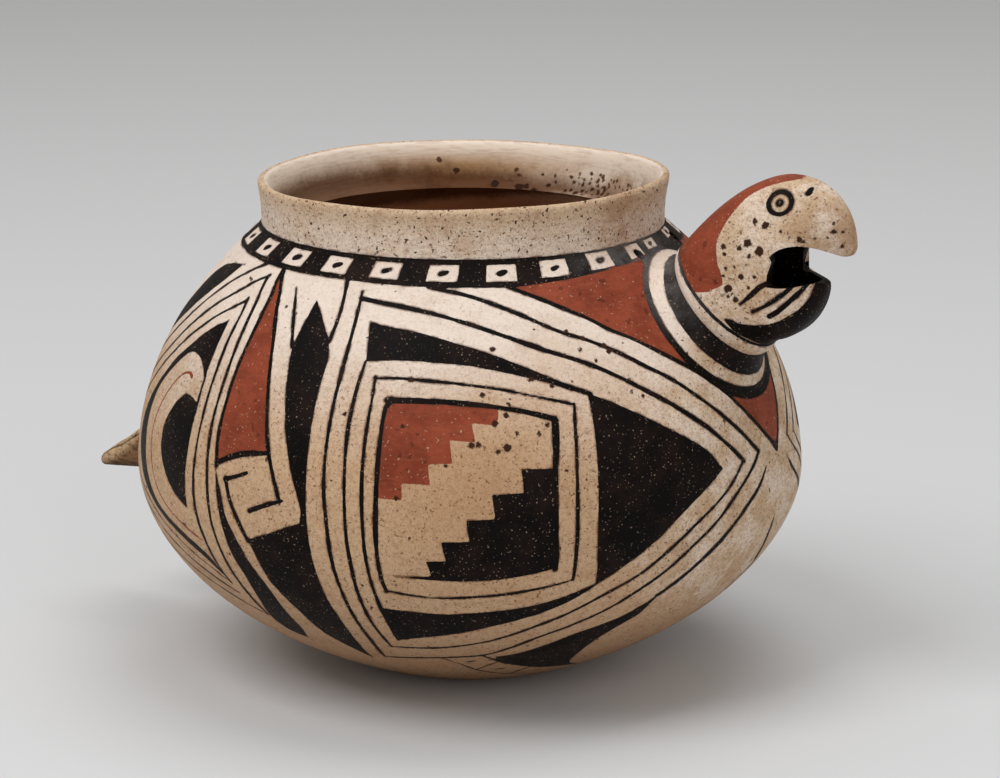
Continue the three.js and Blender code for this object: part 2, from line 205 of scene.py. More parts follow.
def grid_quads(rows: int, columns: int, closed: bool, start: int = 0) -> Array:
    """Quads of a grid whose points run along the rows, column by column.

    Args:
        rows: number of rows of points.
        columns: number of points in a row.
        closed: whether the last column joins the first.
        start: index of the grid's first point.

    Returns:
        Four indices per quad, turned so that rows going up and columns going round to the left
        (anticlockwise seen from above) give faces that point outwards.
    """
    wide = columns if closed else columns - 1
    r, c = np.meshgrid(np.arange(rows - 1), np.arange(wide), indexing="ij")
    nxt = (c + 1) % columns
    quads = np.stack([r * columns + c, r * columns + nxt,
                      (r + 1) * columns + nxt, (r + 1) * columns + c], axis=-1)
    return start + quads.reshape(-1, 4)


def neighbours(columns: int) -> tuple[Array, Array]:
    """The columns of a closed row, and the one after each."""
    c = np.arange(columns)
    return c, (c + 1) % columns


def fan(first: int, columns: int, hub: int) -> Array:
    """Triangles from a closed row of points to one point.

    Args:
        first: index of the row's first point.
        columns: its number of points.
        hub: index of the one point.

    Returns:
        Three indices per triangle, turned as the row runs.
    """
    c, n = neighbours(columns)
    return np.stack([first + c, first + n, np.full_like(c, hub)], axis=-1)


@dataclass
class Build:
    """Points, faces and attributes of one piece while it is put together."""

    points: list[Array] = field(default_factory=list)
    faces: list[Array] = field(default_factory=list)
    values: dict[str, list[Array]] = field(default_factory=dict)
    count: int = 0

    def add(self, points: Array, **values: Array | float) -> int:
        """Adds points with their attribute values.

        Args:
            points: rows of x, y and z in mm.
            values: one number, or one per point, for each attribute that isn't as on bare clay.

        Returns:
            The index of the first new point.
        """
        start = self.count
        for name, value in {**BARE, **values}.items():
            self.values.setdefault(name, []).append(np.broadcast_to(value, len(points)).astype(np.float32))
        self.points.append(np.asarray(points, float))
        self.count += len(points)
        return start

    def close_loops(self, first: int, rows: int, columns: int) -> None:
        """Adds the faces of a closed tube: rows of closed loops, the last of which joins the first.

        Args:
            first: index of its first point.
            rows: number of loops.
            columns: points in a loop.
        """
        self.faces.append(grid_quads(rows, columns, True, first))
        c, n = neighbours(columns)
        last = (rows - 1) * columns
        self.faces.append(first + np.stack([last + c, last + n, n, c], axis=-1))

    def mesh(self, name: str, normals: Array | None = None) -> bpy.types.Mesh:
        """Writes the piece as a Blender mesh in metres, with equal neighbouring corners of a face
        merged, faces with fewer than three corners dropped, and points that no face uses left out.

        Args:
            name: the mesh's name.
            normals: wanted normals of all the points, with zeros where the faces' own do.

        Returns:
            The mesh, shaded smooth but for its sharp edges.
        """
        co = np.vstack(self.points)
        loops, totals = [], []
        for block in self.faces:
            keep = block != np.roll(block, 1, axis=1)
            size = keep.sum(1)
            good = size >= 3
            loops.append(block[good][keep[good]])
            totals.append(size[good])
        loops, totals = np.concatenate(loops), np.concatenate(totals)
        used, loops = np.unique(loops, return_inverse=True)
        mesh = bpy.data.meshes.new(name)
        mesh.vertices.add(len(used))
        mesh.vertices.foreach_set("co", (co[used] * MM).astype(np.float32).ravel())
        mesh.loops.add(len(loops))
        mesh.loops.foreach_set("vertex_index", loops.astype(np.int32))
        mesh.polygons.add(len(totals))
        mesh.polygons.foreach_set("loop_start", (np.cumsum(totals) - totals).astype(np.int32))
        for attribute, parts in self.values.items():
            layer = mesh.attributes.new(attribute, "FLOAT", "POINT")
            layer.data.foreach_set("value", np.concatenate(parts)[used])
        mesh.update(calc_edges=True)
        mesh.validate()
        mesh.polygons.foreach_set("use_smooth", np.ones(len(mesh.polygons), bool))
        mesh.set_sharp_from_angle(angle=np.radians(SHARP_FROM))
        if normals is not None:
            mesh.normals_split_custom_set_from_vertices(normals[used].tolist())
        return mesh


def place(node: str, build: Build, finish: Material, slot: Slot,
          normals: Array | None = None) -> None:
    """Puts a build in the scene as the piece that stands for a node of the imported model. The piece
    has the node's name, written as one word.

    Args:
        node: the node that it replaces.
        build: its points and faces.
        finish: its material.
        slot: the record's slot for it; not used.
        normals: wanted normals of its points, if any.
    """
    name = node.title().replace("_", "")
    mesh = build.mesh(name, normals)
    piece = bpy.data.objects.new(name, mesh)
    bpy.context.scene.collection.objects.link(piece)
    mesh.materials.append(finish)
    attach(piece, BODY)
    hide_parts(node)
    log.info("%s: %d faces", name, len(mesh.polygons))


# The jar's form


@dataclass(frozen=True)
class JarForm:
    """Sizes of the jar in mm, and its surface as a function of azimuth and height."""

    base_radius: float = 30.0
    belly_radius: float = 100.4
    belly_height: float = 63.0
    foot_radius: float = 60.4
    foot_height: float = 134.6
    lower_fullness: float = 1.48
    shoulder_fullness: float = 2.08
    mouth_shift: float = 2.0
    wall: float = 5.5
    floor: float = 6.5
    collar_top: float = 141.6
    lip_height: float = 7.2
    lip_tilt: float = 0.95
    unevenness: float = 0.11
    swell_turns: tuple[int, ...] = (1, 2, 2, 3, 4, 5, 6, 7, 9, 11, 14, 18, 23, 29)
    # Waves of the rim: height in mm, number round the jar and phase
    rim_waves: tuple[Triple, ...] = ((0.35, 2, 0.6), (0.22, 3, -1.1), (0.12, 7, 0.0))

    @property
    def top(self) -> float:
        """Height of the lip's crown, before the rim rises and dips."""
        return self.collar_top + self.lip_height

    def radius(self, z: Array) -> Array:
        """Outer radius at a height. Below the belly, r^q falls with the square of the distance to
        the belly; above it, r falls with a power of the share of the way to the collar."""
        z = np.asarray(z, float)
        below = (self.belly_height - np.clip(z, 0, self.belly_height)) / self.belly_height
        q = self.lower_fullness
        full = self.belly_radius**q
        low = (full - (full - self.base_radius**q) * below**2) ** (1 / q)
        above = np.clip((z - self.belly_height) / (self.foot_height - self.belly_height), 0, 1)
        high = self.belly_radius - (self.belly_radius - self.foot_radius) * above**self.shoulder_fullness
        return np.where(z < self.belly_height, low, high)

    def slope(self, z: Array) -> Array:
        """Change of the outer radius per millimetre of height."""
        top = self.foot_height - 0.05
        z = np.clip(z, 0.05, top)
        return (self.radius(z + 0.05) - self.radius(z - 0.05)) / 0.1

    def inner_radius(self, z: Array) -> Array:
        """Inner radius: one wall in from the outside, along the wall's own normal."""
        return self.radius(z) - self.wall * np.hypot(1, self.slope(z))

    def wander(self, z: Array) -> Array:
        """How far the jar's axis has moved along X at a height."""
        low, high = self.belly_height, self.foot_height
        share = (np.minimum(z, high) - low) / (high - low)
        return -self.mouth_shift * np.clip(share, 0, None)**2

    def swell(self, azimuth: Array, z: Array) -> Array:
        """The hand-built wall's unevenness: a sum of cosine waves round the jar and up it, which
        dies out towards the flat resting face.

        Args:
            azimuth: angles from +X, in radians.
            z: heights in mm.

        Returns:
            Displacement in mm along the outward direction.
        """
        rng = np.random.default_rng(SWELL_SEED)
        total = np.zeros(np.broadcast(azimuth, z).shape)
        for turns in self.swell_turns:
            rise, phase, size = rng.uniform(-0.12, 0.12), rng.uniform(0, 6.3), rng.uniform(0.5, 1)
            total += size * np.cos(turns * azimuth + rise * z * (1 + turns / 8) + phase) / (1 + turns / 6)
        return self.unevenness * total * smoothstep(0, 8, z)

    def rim_lift(self, azimuth: Array, z: Array) -> Array:
        """How far the collar and the lip rise or dip: a tilt towards the head, and the rim's waves."""
        share = np.clip((z - self.foot_height) / (self.top - self.foot_height), 0, 1)
        tilt = np.tan(np.radians(self.lip_tilt)) * self.foot_radius * np.cos(azimuth)
        waves = sum(size * np.cos(count * azimuth + phase) for size, count, phase in self.rim_waves)
        return (tilt + waves) * share**1.3

    def surface(self, azimuth: Array, radius: Array, z: Array) -> Array:
        """Points of a turned surface, shifted by the wander, the unevenness and the rim's lift."""
        r = radius + self.swell(azimuth, z)
        return np.stack([r * np.cos(azimuth) + self.wander(z), r * np.sin(azimuth),
                         z + self.rim_lift(azimuth, z)], axis=-1)

    def plain(self, azimuth: Array, z: Array) -> Array:
        """Points of the outside without its unevenness, where the pattern is laid out."""
        r = self.radius(z)
        return np.stack([r * np.cos(azimuth) + self.wander(z), r * np.sin(azimuth), z + 0 * r], axis=-1)


JAR = JarForm()

# The collar and the lip as [radius, height] points, outside from the crease to the crown and inside
# from the crown to the throat
COLLAR_OUTSIDE: Curve = ((60.4, 134.6), (60.4, 135.6), (60.4, 138.3), (60.6, 141.6), (61.0, 144.6),
                         (61.35, 146.6), (61.4, 147.7), (61.0, 148.5), (60.3, 148.85))
COLLAR_INSIDE: Curve = ((60.3, 148.85), (59.5, 148.6), (58.7, 147.9), (57.9, 146.6), (57.1, 144.6),
                        (56.2, 141.6), (55.2, 138.6), (53.9, 136.2), (52.4, 134.6))


# The painted pattern


@dataclass(frozen=True)
class Stroke:
    """A brush line on the jar: the points that it runs through, as azimuth in degrees and height in
    mm, its width in mm, and the share of it that is left at its two ends."""

    points: Curve
    width: float = 1.15
    ends: Point = (0.8, 0.6)
    paint: Paint = Paint.BLACK


@dataclass(frozen=True)
class Patch:
    """A painted field: its outline as a ring of edges, each a smooth curve that starts at its first
    point and ends where the next edge starts. Points are azimuth in degrees and height in mm."""

    edges: tuple[Curve, ...]
    paint: Paint = Paint.BLACK


def cell(azimuth: float, height: float, wide: float, tall: float, lean: float) -> tuple[Curve, ...]:
    """A four-sided cell of the band under the collar, as a patch's edges.

    Args:
        azimuth: its middle in degrees.
        height: its middle in mm.
        wide: its width in degrees.
        tall: its height in mm.
        lean: how much further round its top is than its foot, in degrees.

    Returns:
        Four straight edges.
    """
    w, h = wide / 2, tall / 2
    return (((azimuth - w - lean, height - h),), ((azimuth + w - lean, height - h),),
            ((azimuth + w + lean, height + h),), ((azimuth - w + lean, height + h),))


# Lines and fields of the panel on the near side, towards the bird's head
PANEL: tuple[Stroke | Patch, ...] = (
    # The two lines over the panel, from the collar's band to the panel's point
    Stroke(((-71.5, 128.2), (-64.9, 127.0), (-58.7, 125.2), (-51.0, 121.7), (-43.0, 116.9), (-37.5, 114.2),
            (-32.2, 110.7), (-27.3, 106.4), (-22.2, 101.7), (-17.3, 95.6), (-12.1, 88.3), (-8.2, 82.1),
            (-4.9, 76.6)), 1.35, (1.0, 0.9)),
    Stroke(((-87.0, 124.6), (-81.3, 123.9), (-76.2, 123.2), (-68.8, 121.7), (-61.1, 119.2), (-53.9, 116.1),
            (-47.1, 112.7), (-40.0, 109.1), (-34.4, 105.2), (-29.2, 100.5), (-24.3, 95.6), (-19.2, 89.6),
            (-15.6, 84.7), (-9.6, 75.4)), 1.5, (1.1, 0.7)),
    # The two lines under it, back to the lower corners
    Stroke(((-4.9, 76.6), (-7.7, 72.5), (-13.0, 66.3), (-17.7, 60.3), (-22.8, 54.7), (-28.0, 48.1),
            (-32.1, 43.7), (-37.8, 37.6), (-43.6, 33.0), (-49.0, 29.3), (-54.5, 24.9), (-60.1, 21.7),
            (-69.6, 20.2), (-83.3, 18.4)), 1.15),
    Stroke(((-10.3, 75.2), (-13.3, 70.8), (-17.8, 65.8), (-23.3, 60.5), (-29.0, 53.8), (-33.1, 49.0),
            (-38.7, 44.1), (-44.6, 38.4), (-49.9, 34.4), (-55.1, 30.7), (-60.4, 27.9), (-69.0, 25.3),
            (-79.4, 24.5)), 1.05),
    Stroke(((-3.1, 71.3), (-5.6, 66.8), (-11.3, 60.2), (-15.6, 54.4), (-19.3, 49.9), (-23.8, 44.2),
            (-27.5, 40.0)), 1.5, (0.35, 1.1)),
    # The upright lines left of it
    Stroke(((-92.4, 128.8), (-91.4, 124.1), (-91.0, 119.6), (-91.3, 113.6)), 1.3, (1.1, 0.9)),
    Stroke(((-87.3, 126.2), (-86.8, 120.0), (-86.8, 110.8), (-87.1, 98.2), (-87.1, 85.2), (-86.8, 74.0),
            (-86.2, 64.5), (-85.6, 54.0), (-84.7, 43.5), (-83.9, 34.8), (-83.2, 26.7), (-83.3, 18.3)), 1.2),
    Stroke(((-82.5, 109.6), (-83.2, 102.9), (-83.6, 93.0), (-83.4, 81.4), (-82.9, 64.0), (-82.3, 53.8),
            (-81.9, 45.7), (-81.2, 37.4), (-80.4, 31.2), (-79.3, 24.4)), 1.15),
    Stroke(((-80.0, 105.9), (-80.0, 100.5), (-80.3, 90.0), (-80.3, 79.0), (-79.9, 62.3), (-79.2, 50.0),
            (-78.5, 42.5), (-77.6, 34.6), (-77.1, 27.9)), 1.15),
    # The thin square frame
    Stroke(((-80.2, 105.6), (-74.9, 105.9), (-68.2, 105.4), (-63.3, 104.8), (-56.8, 103.5), (-50.4, 101.4),
            (-43.5, 98.8)), 0.95, (0.8, 0.8)),
    Stroke(((-43.5, 98.9), (-44.0, 94.4), (-44.4, 87.4), (-44.8, 79.0), (-45.1, 65.0), (-45.4, 49.8)),
           1.15, (0.8, 1.0)),
    Stroke(((-45.4, 49.9), (-50.5, 48.0), (-58.2, 46.1), (-66.9, 45.2), (-72.0, 45.7), (-76.8, 46.9)), 0.9),
    # The thick square frame
    Stroke(((-77.2, 100.3), (-71.3, 100.5), (-64.9, 100.2), (-58.6, 99.3), (-52.4, 97.6), (-47.5, 95.5)),
           1.65, (1.1, 1.0)),
    Stroke(((-47.5, 95.2), (-47.9, 88.0), (-48.5, 80.0), (-48.8, 66.0), (-48.7, 53.9)), 2.05, (1.0, 0.8)),
    Stroke(((-76.4, 100.6), (-77.4, 97.4), (-77.7, 90.0), (-77.8, 78.0), (-77.8, 62.6), (-77.4, 52.0),
            (-76.7, 46.6)), 1.45, (1.2, 0.8)),
    # Stepped fields inside it
    Patch((((-76.6, 100.6), (-71.2, 100.6), (-64.9, 100.2), (-57.9, 99.1)), ((-57.7, 94.4),),
           ((-62.0, 95.1),), ((-61.5, 90.1),), ((-65.8, 90.7),), ((-65.4, 84.6),), ((-69.4, 84.4),),
           ((-69.0, 78.8),), ((-73.6, 79.0),), ((-73.6, 74.3),), ((-77.9, 74.6),),
           ((-77.9, 88.0), (-77.5, 96.0))), Paint.RED),
    Patch((((-48.6, 82.7),), ((-54.1, 82.9),), ((-53.8, 76.4),), ((-59.0, 76.2),), ((-58.6, 69.5),),
           ((-63.2, 69.1),), ((-62.7, 63.0),), ((-67.3, 62.8),), ((-66.5, 57.2),), ((-69.7, 56.9),),
           ((-68.9, 52.3),), ((-75.0, 51.8), (-69.0, 51.0), (-64.3, 50.8), (-58.0, 51.2), (-53.8, 52.2)),
           ((-48.5, 54.0), (-48.5, 68.0)))),
    # The wedge over the frame, the big pointed field right of it and the crescent below
    Patch((((-83.4, 119.3), (-80.2, 118.6), (-72.3, 117.3), (-64.9, 115.0), (-57.9, 112.3), (-51.3, 108.7),
            (-45.0, 104.7)), ((-39.4, 101.3),), ((-39.8, 100.3), (-43.6, 102.3), (-48.3, 104.8),
            (-54.8, 107.3), (-61.5, 109.2), (-68.3, 110.0), (-76.0, 110.2)), ((-82.4, 109.5),))),
    Patch((((-40.6, 101.4), (-35.7, 98.0), (-30.8, 93.9), (-25.8, 89.1), (-21.6, 84.9), (-18.6, 81.2)),
           ((-15.6, 75.4), (-19.9, 71.0), (-26.1, 64.6), (-31.5, 57.8), (-36.4, 52.5)),
           ((-41.2, 47.4), (-41.6, 58.0), (-41.5, 68.8), (-41.2, 79.1), (-40.8, 90.9)))),
    Patch((((-77.9, 40.6), (-67.9, 39.5), (-61.8, 40.0), (-54.4, 41.3), (-48.0, 43.7)), ((-40.8, 48.2),),
           ((-41.2, 47.2), (-45.0, 42.9), (-49.7, 39.3), (-54.5, 36.6), (-59.7, 34.2), (-64.8, 31.9),
            (-70.0, 30.3)), ((-77.2, 27.9),))),
    # The leaf with the petal at the lower right, and the row of cells beside it
    Patch((((-27.0, 40.6), (-32.4, 34.8), (-36.7, 31.9), (-41.8, 29.0), (-47.1, 25.1), (-51.5, 22.3)),
           ((-56.5, 20.7), (-56.2, 18.4), (-50.6, 14.9), (-42.7, 12.0), (-34.9, 10.6)),
           ((-25.2, 8.8), (-31.0, 11.2), (-34.6, 13.6), (-35.8, 17.6), (-35.7, 21.8), (-34.4, 25.9),
            (-32.1, 30.0), (-29.2, 33.6)))),
    Stroke(((-69.8, 20.2), (-65.5, 17.2), (-60.8, 12.8), (-54.2, 9.8), (-47.3, 8.0), (-39.5, 6.4)), 0.8),
    Stroke(((-60.1, 21.7), (-56.4, 18.6), (-53.5, 16.2)), 0.9),
    Stroke(((-61.2, 12.9), (-56.0, 17.7)), 0.8),
    Stroke(((-49.6, 8.6), (-46.4, 12.8)), 0.8),
    Stroke(((-63.8, 18.0), (-61.2, 18.6)), 1.4, (0.4, 0.4)),
    Stroke(((-55.6, 12.9), (-52.8, 13.5)), 1.4, (0.4, 0.4)),
    Stroke(((-43.0, 9.1), (-39.8, 9.6)), 1.4, (0.4, 0.4)),
)

# The near edge of the red spear
SPEAR_EDGE: Curve = ((-111.5, 125.4), (-109.5, 122.5), (-108.0, 119.4), (-105.1, 113.0), (-103.3, 107.1),
                     (-101.1, 98.0), (-99.5, 90.0))

# Lines and fields of the near side left of that panel, round to the tail
SIDE: tuple[Stroke | Patch, ...] = (
    # The spear and the long field that it runs into
    Patch((((-98.2, 123.1), (-95.0, 119.2)), ((-91.7, 114.3), (-90.4, 109.4), (-90.6, 101.0), (-90.5, 92.0),
            (-90.2, 80.0), (-89.9, 68.4), (-89.5, 60.0), (-89.0, 52.0), (-88.3, 43.6), (-87.3, 35.4),
            (-86.9, 27.4)), ((-87.4, 16.4), (-90.2, 21.2), (-93.7, 26.9), (-95.9, 34.9), (-99.2, 44.1),
            (-101.0, 53.0)), ((-102.0, 57.3), (-97.9, 60.1), (-94.1, 63.0)), ((-91.2, 65.0), (-91.0, 69.0),
            (-92.2, 74.7), (-93.8, 81.9), (-96.1, 92.6), (-98.4, 105.0)), ((-99.4, 111.3), (-98.9, 116.6)))),
    Stroke(((-105.7, 124.8), (-103.6, 121.2), (-100.8, 114.8), (-99.4, 110.8)), 1.1, (0.5, 1.0)),
    # The red spear, its black outline and the squared hook under it
    Patch((((-113.5, 128.0), *SPEAR_EDGE), ((-98.4, 83.2), (-102.4, 82.1), (-104.9, 80.9), (-107.4, 79.2)),
           ((-109.6, 77.4), (-110.4, 85.7), (-110.8, 98.0), (-111.0, 111.4), (-112.0, 122.0))), Paint.RED),
    Stroke(((-113.9, 128.6), (-113.1, 125.1), (-112.0, 122.0), (-111.3, 117.0), (-111.0, 111.4),
            (-110.8, 98.0), (-110.4, 85.7), (-109.4, 76.5)), 1.4, (1.0, 1.1)),
    Stroke(((-113.4, 128.2), *SPEAR_EDGE, (-98.3, 84.2), (-96.8, 78.1), (-95.0, 70.4)), 1.3, (1.1, 1.0)),
    Stroke(((-109.3, 77.4), (-107.4, 79.1), (-104.9, 80.8), (-102.4, 82.0), (-98.6, 83.0)), 1.75,
           (1.1, 0.7)),
    Stroke(((-94.4, 70.8), (-97.1, 69.1), (-99.0, 67.8), (-101.2, 66.0)), 1.5, (0.5, 1.0)),
    Stroke(((-102.1, 76.7), (-104.5, 75.0), (-107.0, 73.5)), 1.3, (0.9, 1.2)),
    Stroke(((-106.8, 73.9), (-106.4, 71.6), (-105.4, 67.4), (-104.2, 63.6), (-101.9, 56.9)), 1.3,
           (1.1, 1.1)),
    Patch((((-110.1, 78.0), (-109.4, 74.0), (-108.5, 66.0), (-107.6, 58.8), (-106.6, 50.6), (-105.4, 44.0),
            (-105.4, 36.0), (-106.4, 28.8), (-105.3, 24.4)), ((-101.4, 22.0), (-99.5, 27.2), (-99.7, 32.2),
            (-100.3, 40.6), (-102.4, 48.3), (-104.4, 55.9), (-106.5, 62.8), (-107.9, 70.0)))),
    # The nested lines of the side's own panel: upright arms, then the arms that fall to the tail
    Stroke(((-117.3, 125.9), (-116.4, 122.6), (-115.3, 119.4), (-114.4, 114.0), (-113.8, 108.2),
            (-113.2, 100.0), (-112.8, 88.3), (-112.0, 78.0), (-111.0, 67.0), (-110.0, 56.5),
            (-109.0, 46.5), (-107.8, 37.5), (-107.0, 30.0)), 1.25, (1.3, 0.7)),
    Stroke(((-118.9, 119.8), (-117.7, 115.5), (-117.2, 109.0), (-116.6, 101.4), (-116.0, 90.0),
            (-115.5, 76.0), (-114.8, 64.2), (-113.4, 54.0), (-112.4, 45.5), (-111.2, 39.6)),
           1.15, (1.2, 0.8)),
    Stroke(((-116.8, 126.2), (-120.4, 124.0), (-124.6, 120.3), (-130.5, 114.8), (-136.3, 107.7),
            (-142.0, 99.5), (-150.0, 89.0), (-159.0, 77.0)), 1.2, (1.2, 0.7)),
    Stroke(((-118.6, 119.4), (-123.0, 115.9), (-127.0, 112.4), (-132.3, 106.5), (-137.5, 99.5),
            (-145.0, 88.5), (-153.0, 77.0)), 1.1, (1.2, 0.7)),
    Stroke(((-120.6, 129.0), (-125.1, 126.2), (-130.5, 121.8), (-135.8, 115.9), (-140.5, 109.7),
            (-147.0, 101.5), (-156.0, 90.0), (-165.0, 77.0)), 1.1, (1.2, 0.7)),
    Stroke(((-165.0, 77.0), (-157.0, 64.0), (-147.0, 53.0), (-137.0, 46.0), (-127.0, 40.0), (-117.0, 35.0),
            (-107.0, 29.5)), 0.9),
    Stroke(((-159.0, 77.0), (-152.0, 66.0), (-144.0, 57.5), (-136.0, 52.5), (-127.0, 46.0), (-118.7, 40.6),
            (-111.0, 36.2)), 0.8),
    Stroke(((-153.0, 77.0), (-148.0, 68.5), (-142.0, 61.5), (-135.0, 57.0), (-129.8, 53.0), (-122.7, 48.2),
            (-115.5, 43.2), (-111.4, 39.8)), 0.7),
    Patch((((-131.6, 126.2), (-138.0, 125.2), (-144.5, 122.6), (-149.0, 118.0), (-154.0, 109.0)),
           ((-161.0, 94.0), (-152.0, 101.5), (-144.5, 109.5), (-139.4, 115.6), (-134.3, 121.7)))),
    # The hooked field, the thin red curve and the leaf in the hook
    Patch((((-120.6, 113.5), (-124.8, 110.5), (-129.8, 104.6), (-133.9, 99.1), (-137.6, 92.5),
            (-141.0, 85.0), (-142.7, 78.0), (-141.9, 71.0), (-138.7, 64.3), (-133.6, 58.8), (-127.5, 54.4),
            (-120.5, 50.0), (-115.2, 45.8)),
           ((-111.3, 40.3), (-113.6, 46.6), (-116.7, 50.1), (-121.5, 53.1), (-126.5, 56.1), (-131.1, 60.4),
            (-134.8, 66.5), (-137.0, 74.0), (-138.0, 81.0), (-137.3, 88.3), (-134.8, 94.2), (-131.7, 99.2),
            (-128.6, 102.4), (-125.2, 102.9), (-121.9, 101.2)),
           ((-119.0, 97.2), (-119.5, 103.0), (-120.0, 110.0)))),
    Stroke(((-119.2, 98.6), (-118.9, 94.0), (-118.3, 86.0)), 1.0),
    Stroke(((-123.7, 97.0), (-125.2, 97.7), (-127.8, 96.4), (-130.4, 92.4), (-132.2, 87.6), (-133.4, 82.0),
            (-133.5, 76.0), (-132.0, 70.1), (-129.1, 63.6), (-124.8, 59.0), (-119.5, 55.4), (-113.5, 52.1)),
           0.75, (1.6, 0.4), Paint.RED),
    Patch((((-123.6, 92.4), (-126.4, 88.8), (-128.1, 84.0), (-128.5, 79.4), (-127.4, 74.0), (-124.6, 68.5),
            (-121.0, 64.2)), ((-117.0, 61.4), (-117.6, 68.0), (-118.0, 78.1), (-118.4, 86.6)),
           ((-119.0, 91.3), (-121.4, 92.3)))),
)

# The two edges of the red field under the neck: down to its point on the near side, and up on the far
NEAR_EDGE: Curve = ((-52.5, 128.4), (-46.1, 125.4), (-40.6, 122.4), (-35.4, 119.2), (-31.5, 116.0),
                    (-26.9, 112.9), (-21.4, 108.1), (-16.6, 103.4), (-11.4, 97.1), (-6.1, 88.5),
                    (-1.9, 81.2))
FAR_EDGE: Curve = ((4.1, 79.6), (6.0, 84.0), (8.2, 89.3), (10.8, 96.0), (15.0, 103.5), (21.0, 109.5),
                   (28.0, 114.5), (36.0, 119.8), (43.0, 124.0))

# The red field with its outline, and the thin lines and the leaf below its point
FRONT: tuple[Stroke | Patch, ...] = (
    Patch((NEAR_EDGE, ((1.9, 75.3), *FAR_EDGE),
           ((52.0, 128.6), (30.0, 130.4), (0.0, 131.6), (-30.0, 130.0))), Paint.RED),
    Stroke((*NEAR_EDGE, (1.9, 75.2)), 1.4, (1.0, 1.6)),
    Stroke(((52.0, 128.4), *FAR_EDGE[::-1], (2.0, 75.2)), 1.3, (1.0, 1.6)),
    Stroke(((1.3, 55.4), (1.4, 48.6), (2.2, 43.8), (2.8, 41.0)), 1.6, (0.25, 1.5)),
    Stroke(((2.2, 44.4), (2.8, 41.6), (3.6, 39.0)), 2.8, (0.5, 0.6)),
    Stroke(((4.4, 40.4), (1.6, 37.0), (0.3, 33.6), (1.7, 29.6)), 0.8, (0.8, 0.6)),
    Stroke(((5.6, 38.8), (5.4, 35.5), (4.4, 32.4), (1.9, 29.5)), 0.9, (0.8, 0.6)),
    Stroke(((3.6, 37.8), (4.6, 35.8)), 1.3, (0.5, 0.5)),
    Stroke(((2.4, 35.2), (3.2, 33.6)), 1.1, (0.5, 0.5)),
    Patch((((-10.2, 132.2),), ((-10.8, 128.6),), ((-6.0, 125.0),), ((8.0, 125.0),), ((17.6, 128.2),),
           ((17.6, 132.2),))),
)

# The band under the collar: its lower edge, and where its cells stand
BAND_EDGE: Curve = ((-180.0, 128.6), (-140.0, 128.8), (-113.0, 128.4), (-93.0, 128.5), (-73.0, 128.2),
                    (-51.0, 128.0), (-34.6, 129.1), (-17.0, 130.3), (0.0, 130.8), (17.0, 130.3),
                    (35.0, 129.1), (51.0, 128.2), (93.0, 128.5), (140.0, 128.6), (180.0, 128.6))
BAND_CELLS: tuple[float, ...] = (-158.5, -143.5, -127.5, -112.2, -97.4, -82.9, -67.9, -53.0, -38.7,
                                 -24.2, 31.0, 44.5, 58.0, 72.5, 87.5, 102.0, 117.0, 131.5, 146.0,
                                 160.5, 174.5, -172.5)
# The band's cells: their middle as a share of the band's height, width in degrees, height in mm
# and lean in degrees
BAND_MIDDLE, BAND_WIDE, BAND_TALL, BAND_LEAN = 0.52, 7.7, 3.9, 0.35
# The small cells over the neck: azimuth, height, width in degrees and height in mm
NECK_CELLS: tuple[tuple[float, float, float, float], ...] = (
    (-0.8, 133.2, 5.4, 2.1), (15.2, 133.4, 6.4, 2.0))
NECK_CELL_LEAN = 0.6
# The cell that the near cord hole runs through, with its lean
HOLE_CELL: tuple[float, float, float, float, float] = (-10.2, 132.6, 6.2, 3.4, 0.3)

# Dark spots that stand out on the body: azimuth, height and radius, of which this share is laid out
SPOT_SHARE = 0.95
SPOTS: tuple[Triple, ...] = (
    (-58.0, 94.9, 1.0), (-62.2, 89.3, 0.9), (-61.0, 89.4, 0.9), (-56.2, 88.7, 1.0), (-57.8, 87.7, 0.7),
    (-50.6, 91.9, 0.7), (-48.9, 94.0, 0.7), (-54.3, 92.3, 0.5), (-60.0, 102.2, 0.7), (-55.4, 99.7, 0.7),
    (-56.0, 97.0, 0.8), (-50.8, 105.6, 0.8), (-47.0, 103.8, 0.7), (-43.0, 104.8, 0.5), (-57.4, 113.4, 0.8),
    (-73.1, 105.6, 0.8), (-74.0, 94.0, 0.5), (-41.4, 116.9, 0.7), (-39.6, 112.0, 0.6), (-43.2, 111.0, 0.5),
    (-44.0, 92.4, 0.5), (-44.2, 90.6, 0.5), (-38.2, 114.8, 0.7), (-34.2, 112.4, 0.9), (-33.6, 111.0, 0.9),
    (-37.0, 109.0, 0.6), (-31.4, 103.4, 0.5), (-31.8, 100.2, 0.6), (-29.8, 99.0, 0.5), (-13.0, 88.0, 0.5),
    (-48.0, 60.0, 0.4), (-74.4, 74.9, 0.6), (-66.4, 84.0, 0.5), (-84.6, 96.0, 0.6), (-101.9, 119.0, 0.4),
)
# The spots inside the collar, likewise
INNER_SPOTS: tuple[Triple, ...] = (
    (107.0, 135.7, 1.3), (98.3, 135.0, 1.4), (96.0, 135.4, 0.9), (92.7, 134.4, 0.9), (120.0, 139.6, 0.9),
    (125.4, 143.0, 0.8), (81.0, 135.3, 0.5), (76.7, 135.0, 0.6), (73.4, 134.9, 0.5), (70.2, 137.0, 0.5),
    (64.4, 137.4, 0.5), (72.4, 138.5, 0.5), (100.2, 140.2, 0.6), (99.0, 138.6, 0.4), (88.0, 136.4, 0.5),
)


# Azimuth of the red field's point, about which the near side's pattern is turned over
POINT_AZIMUTH = 1.7


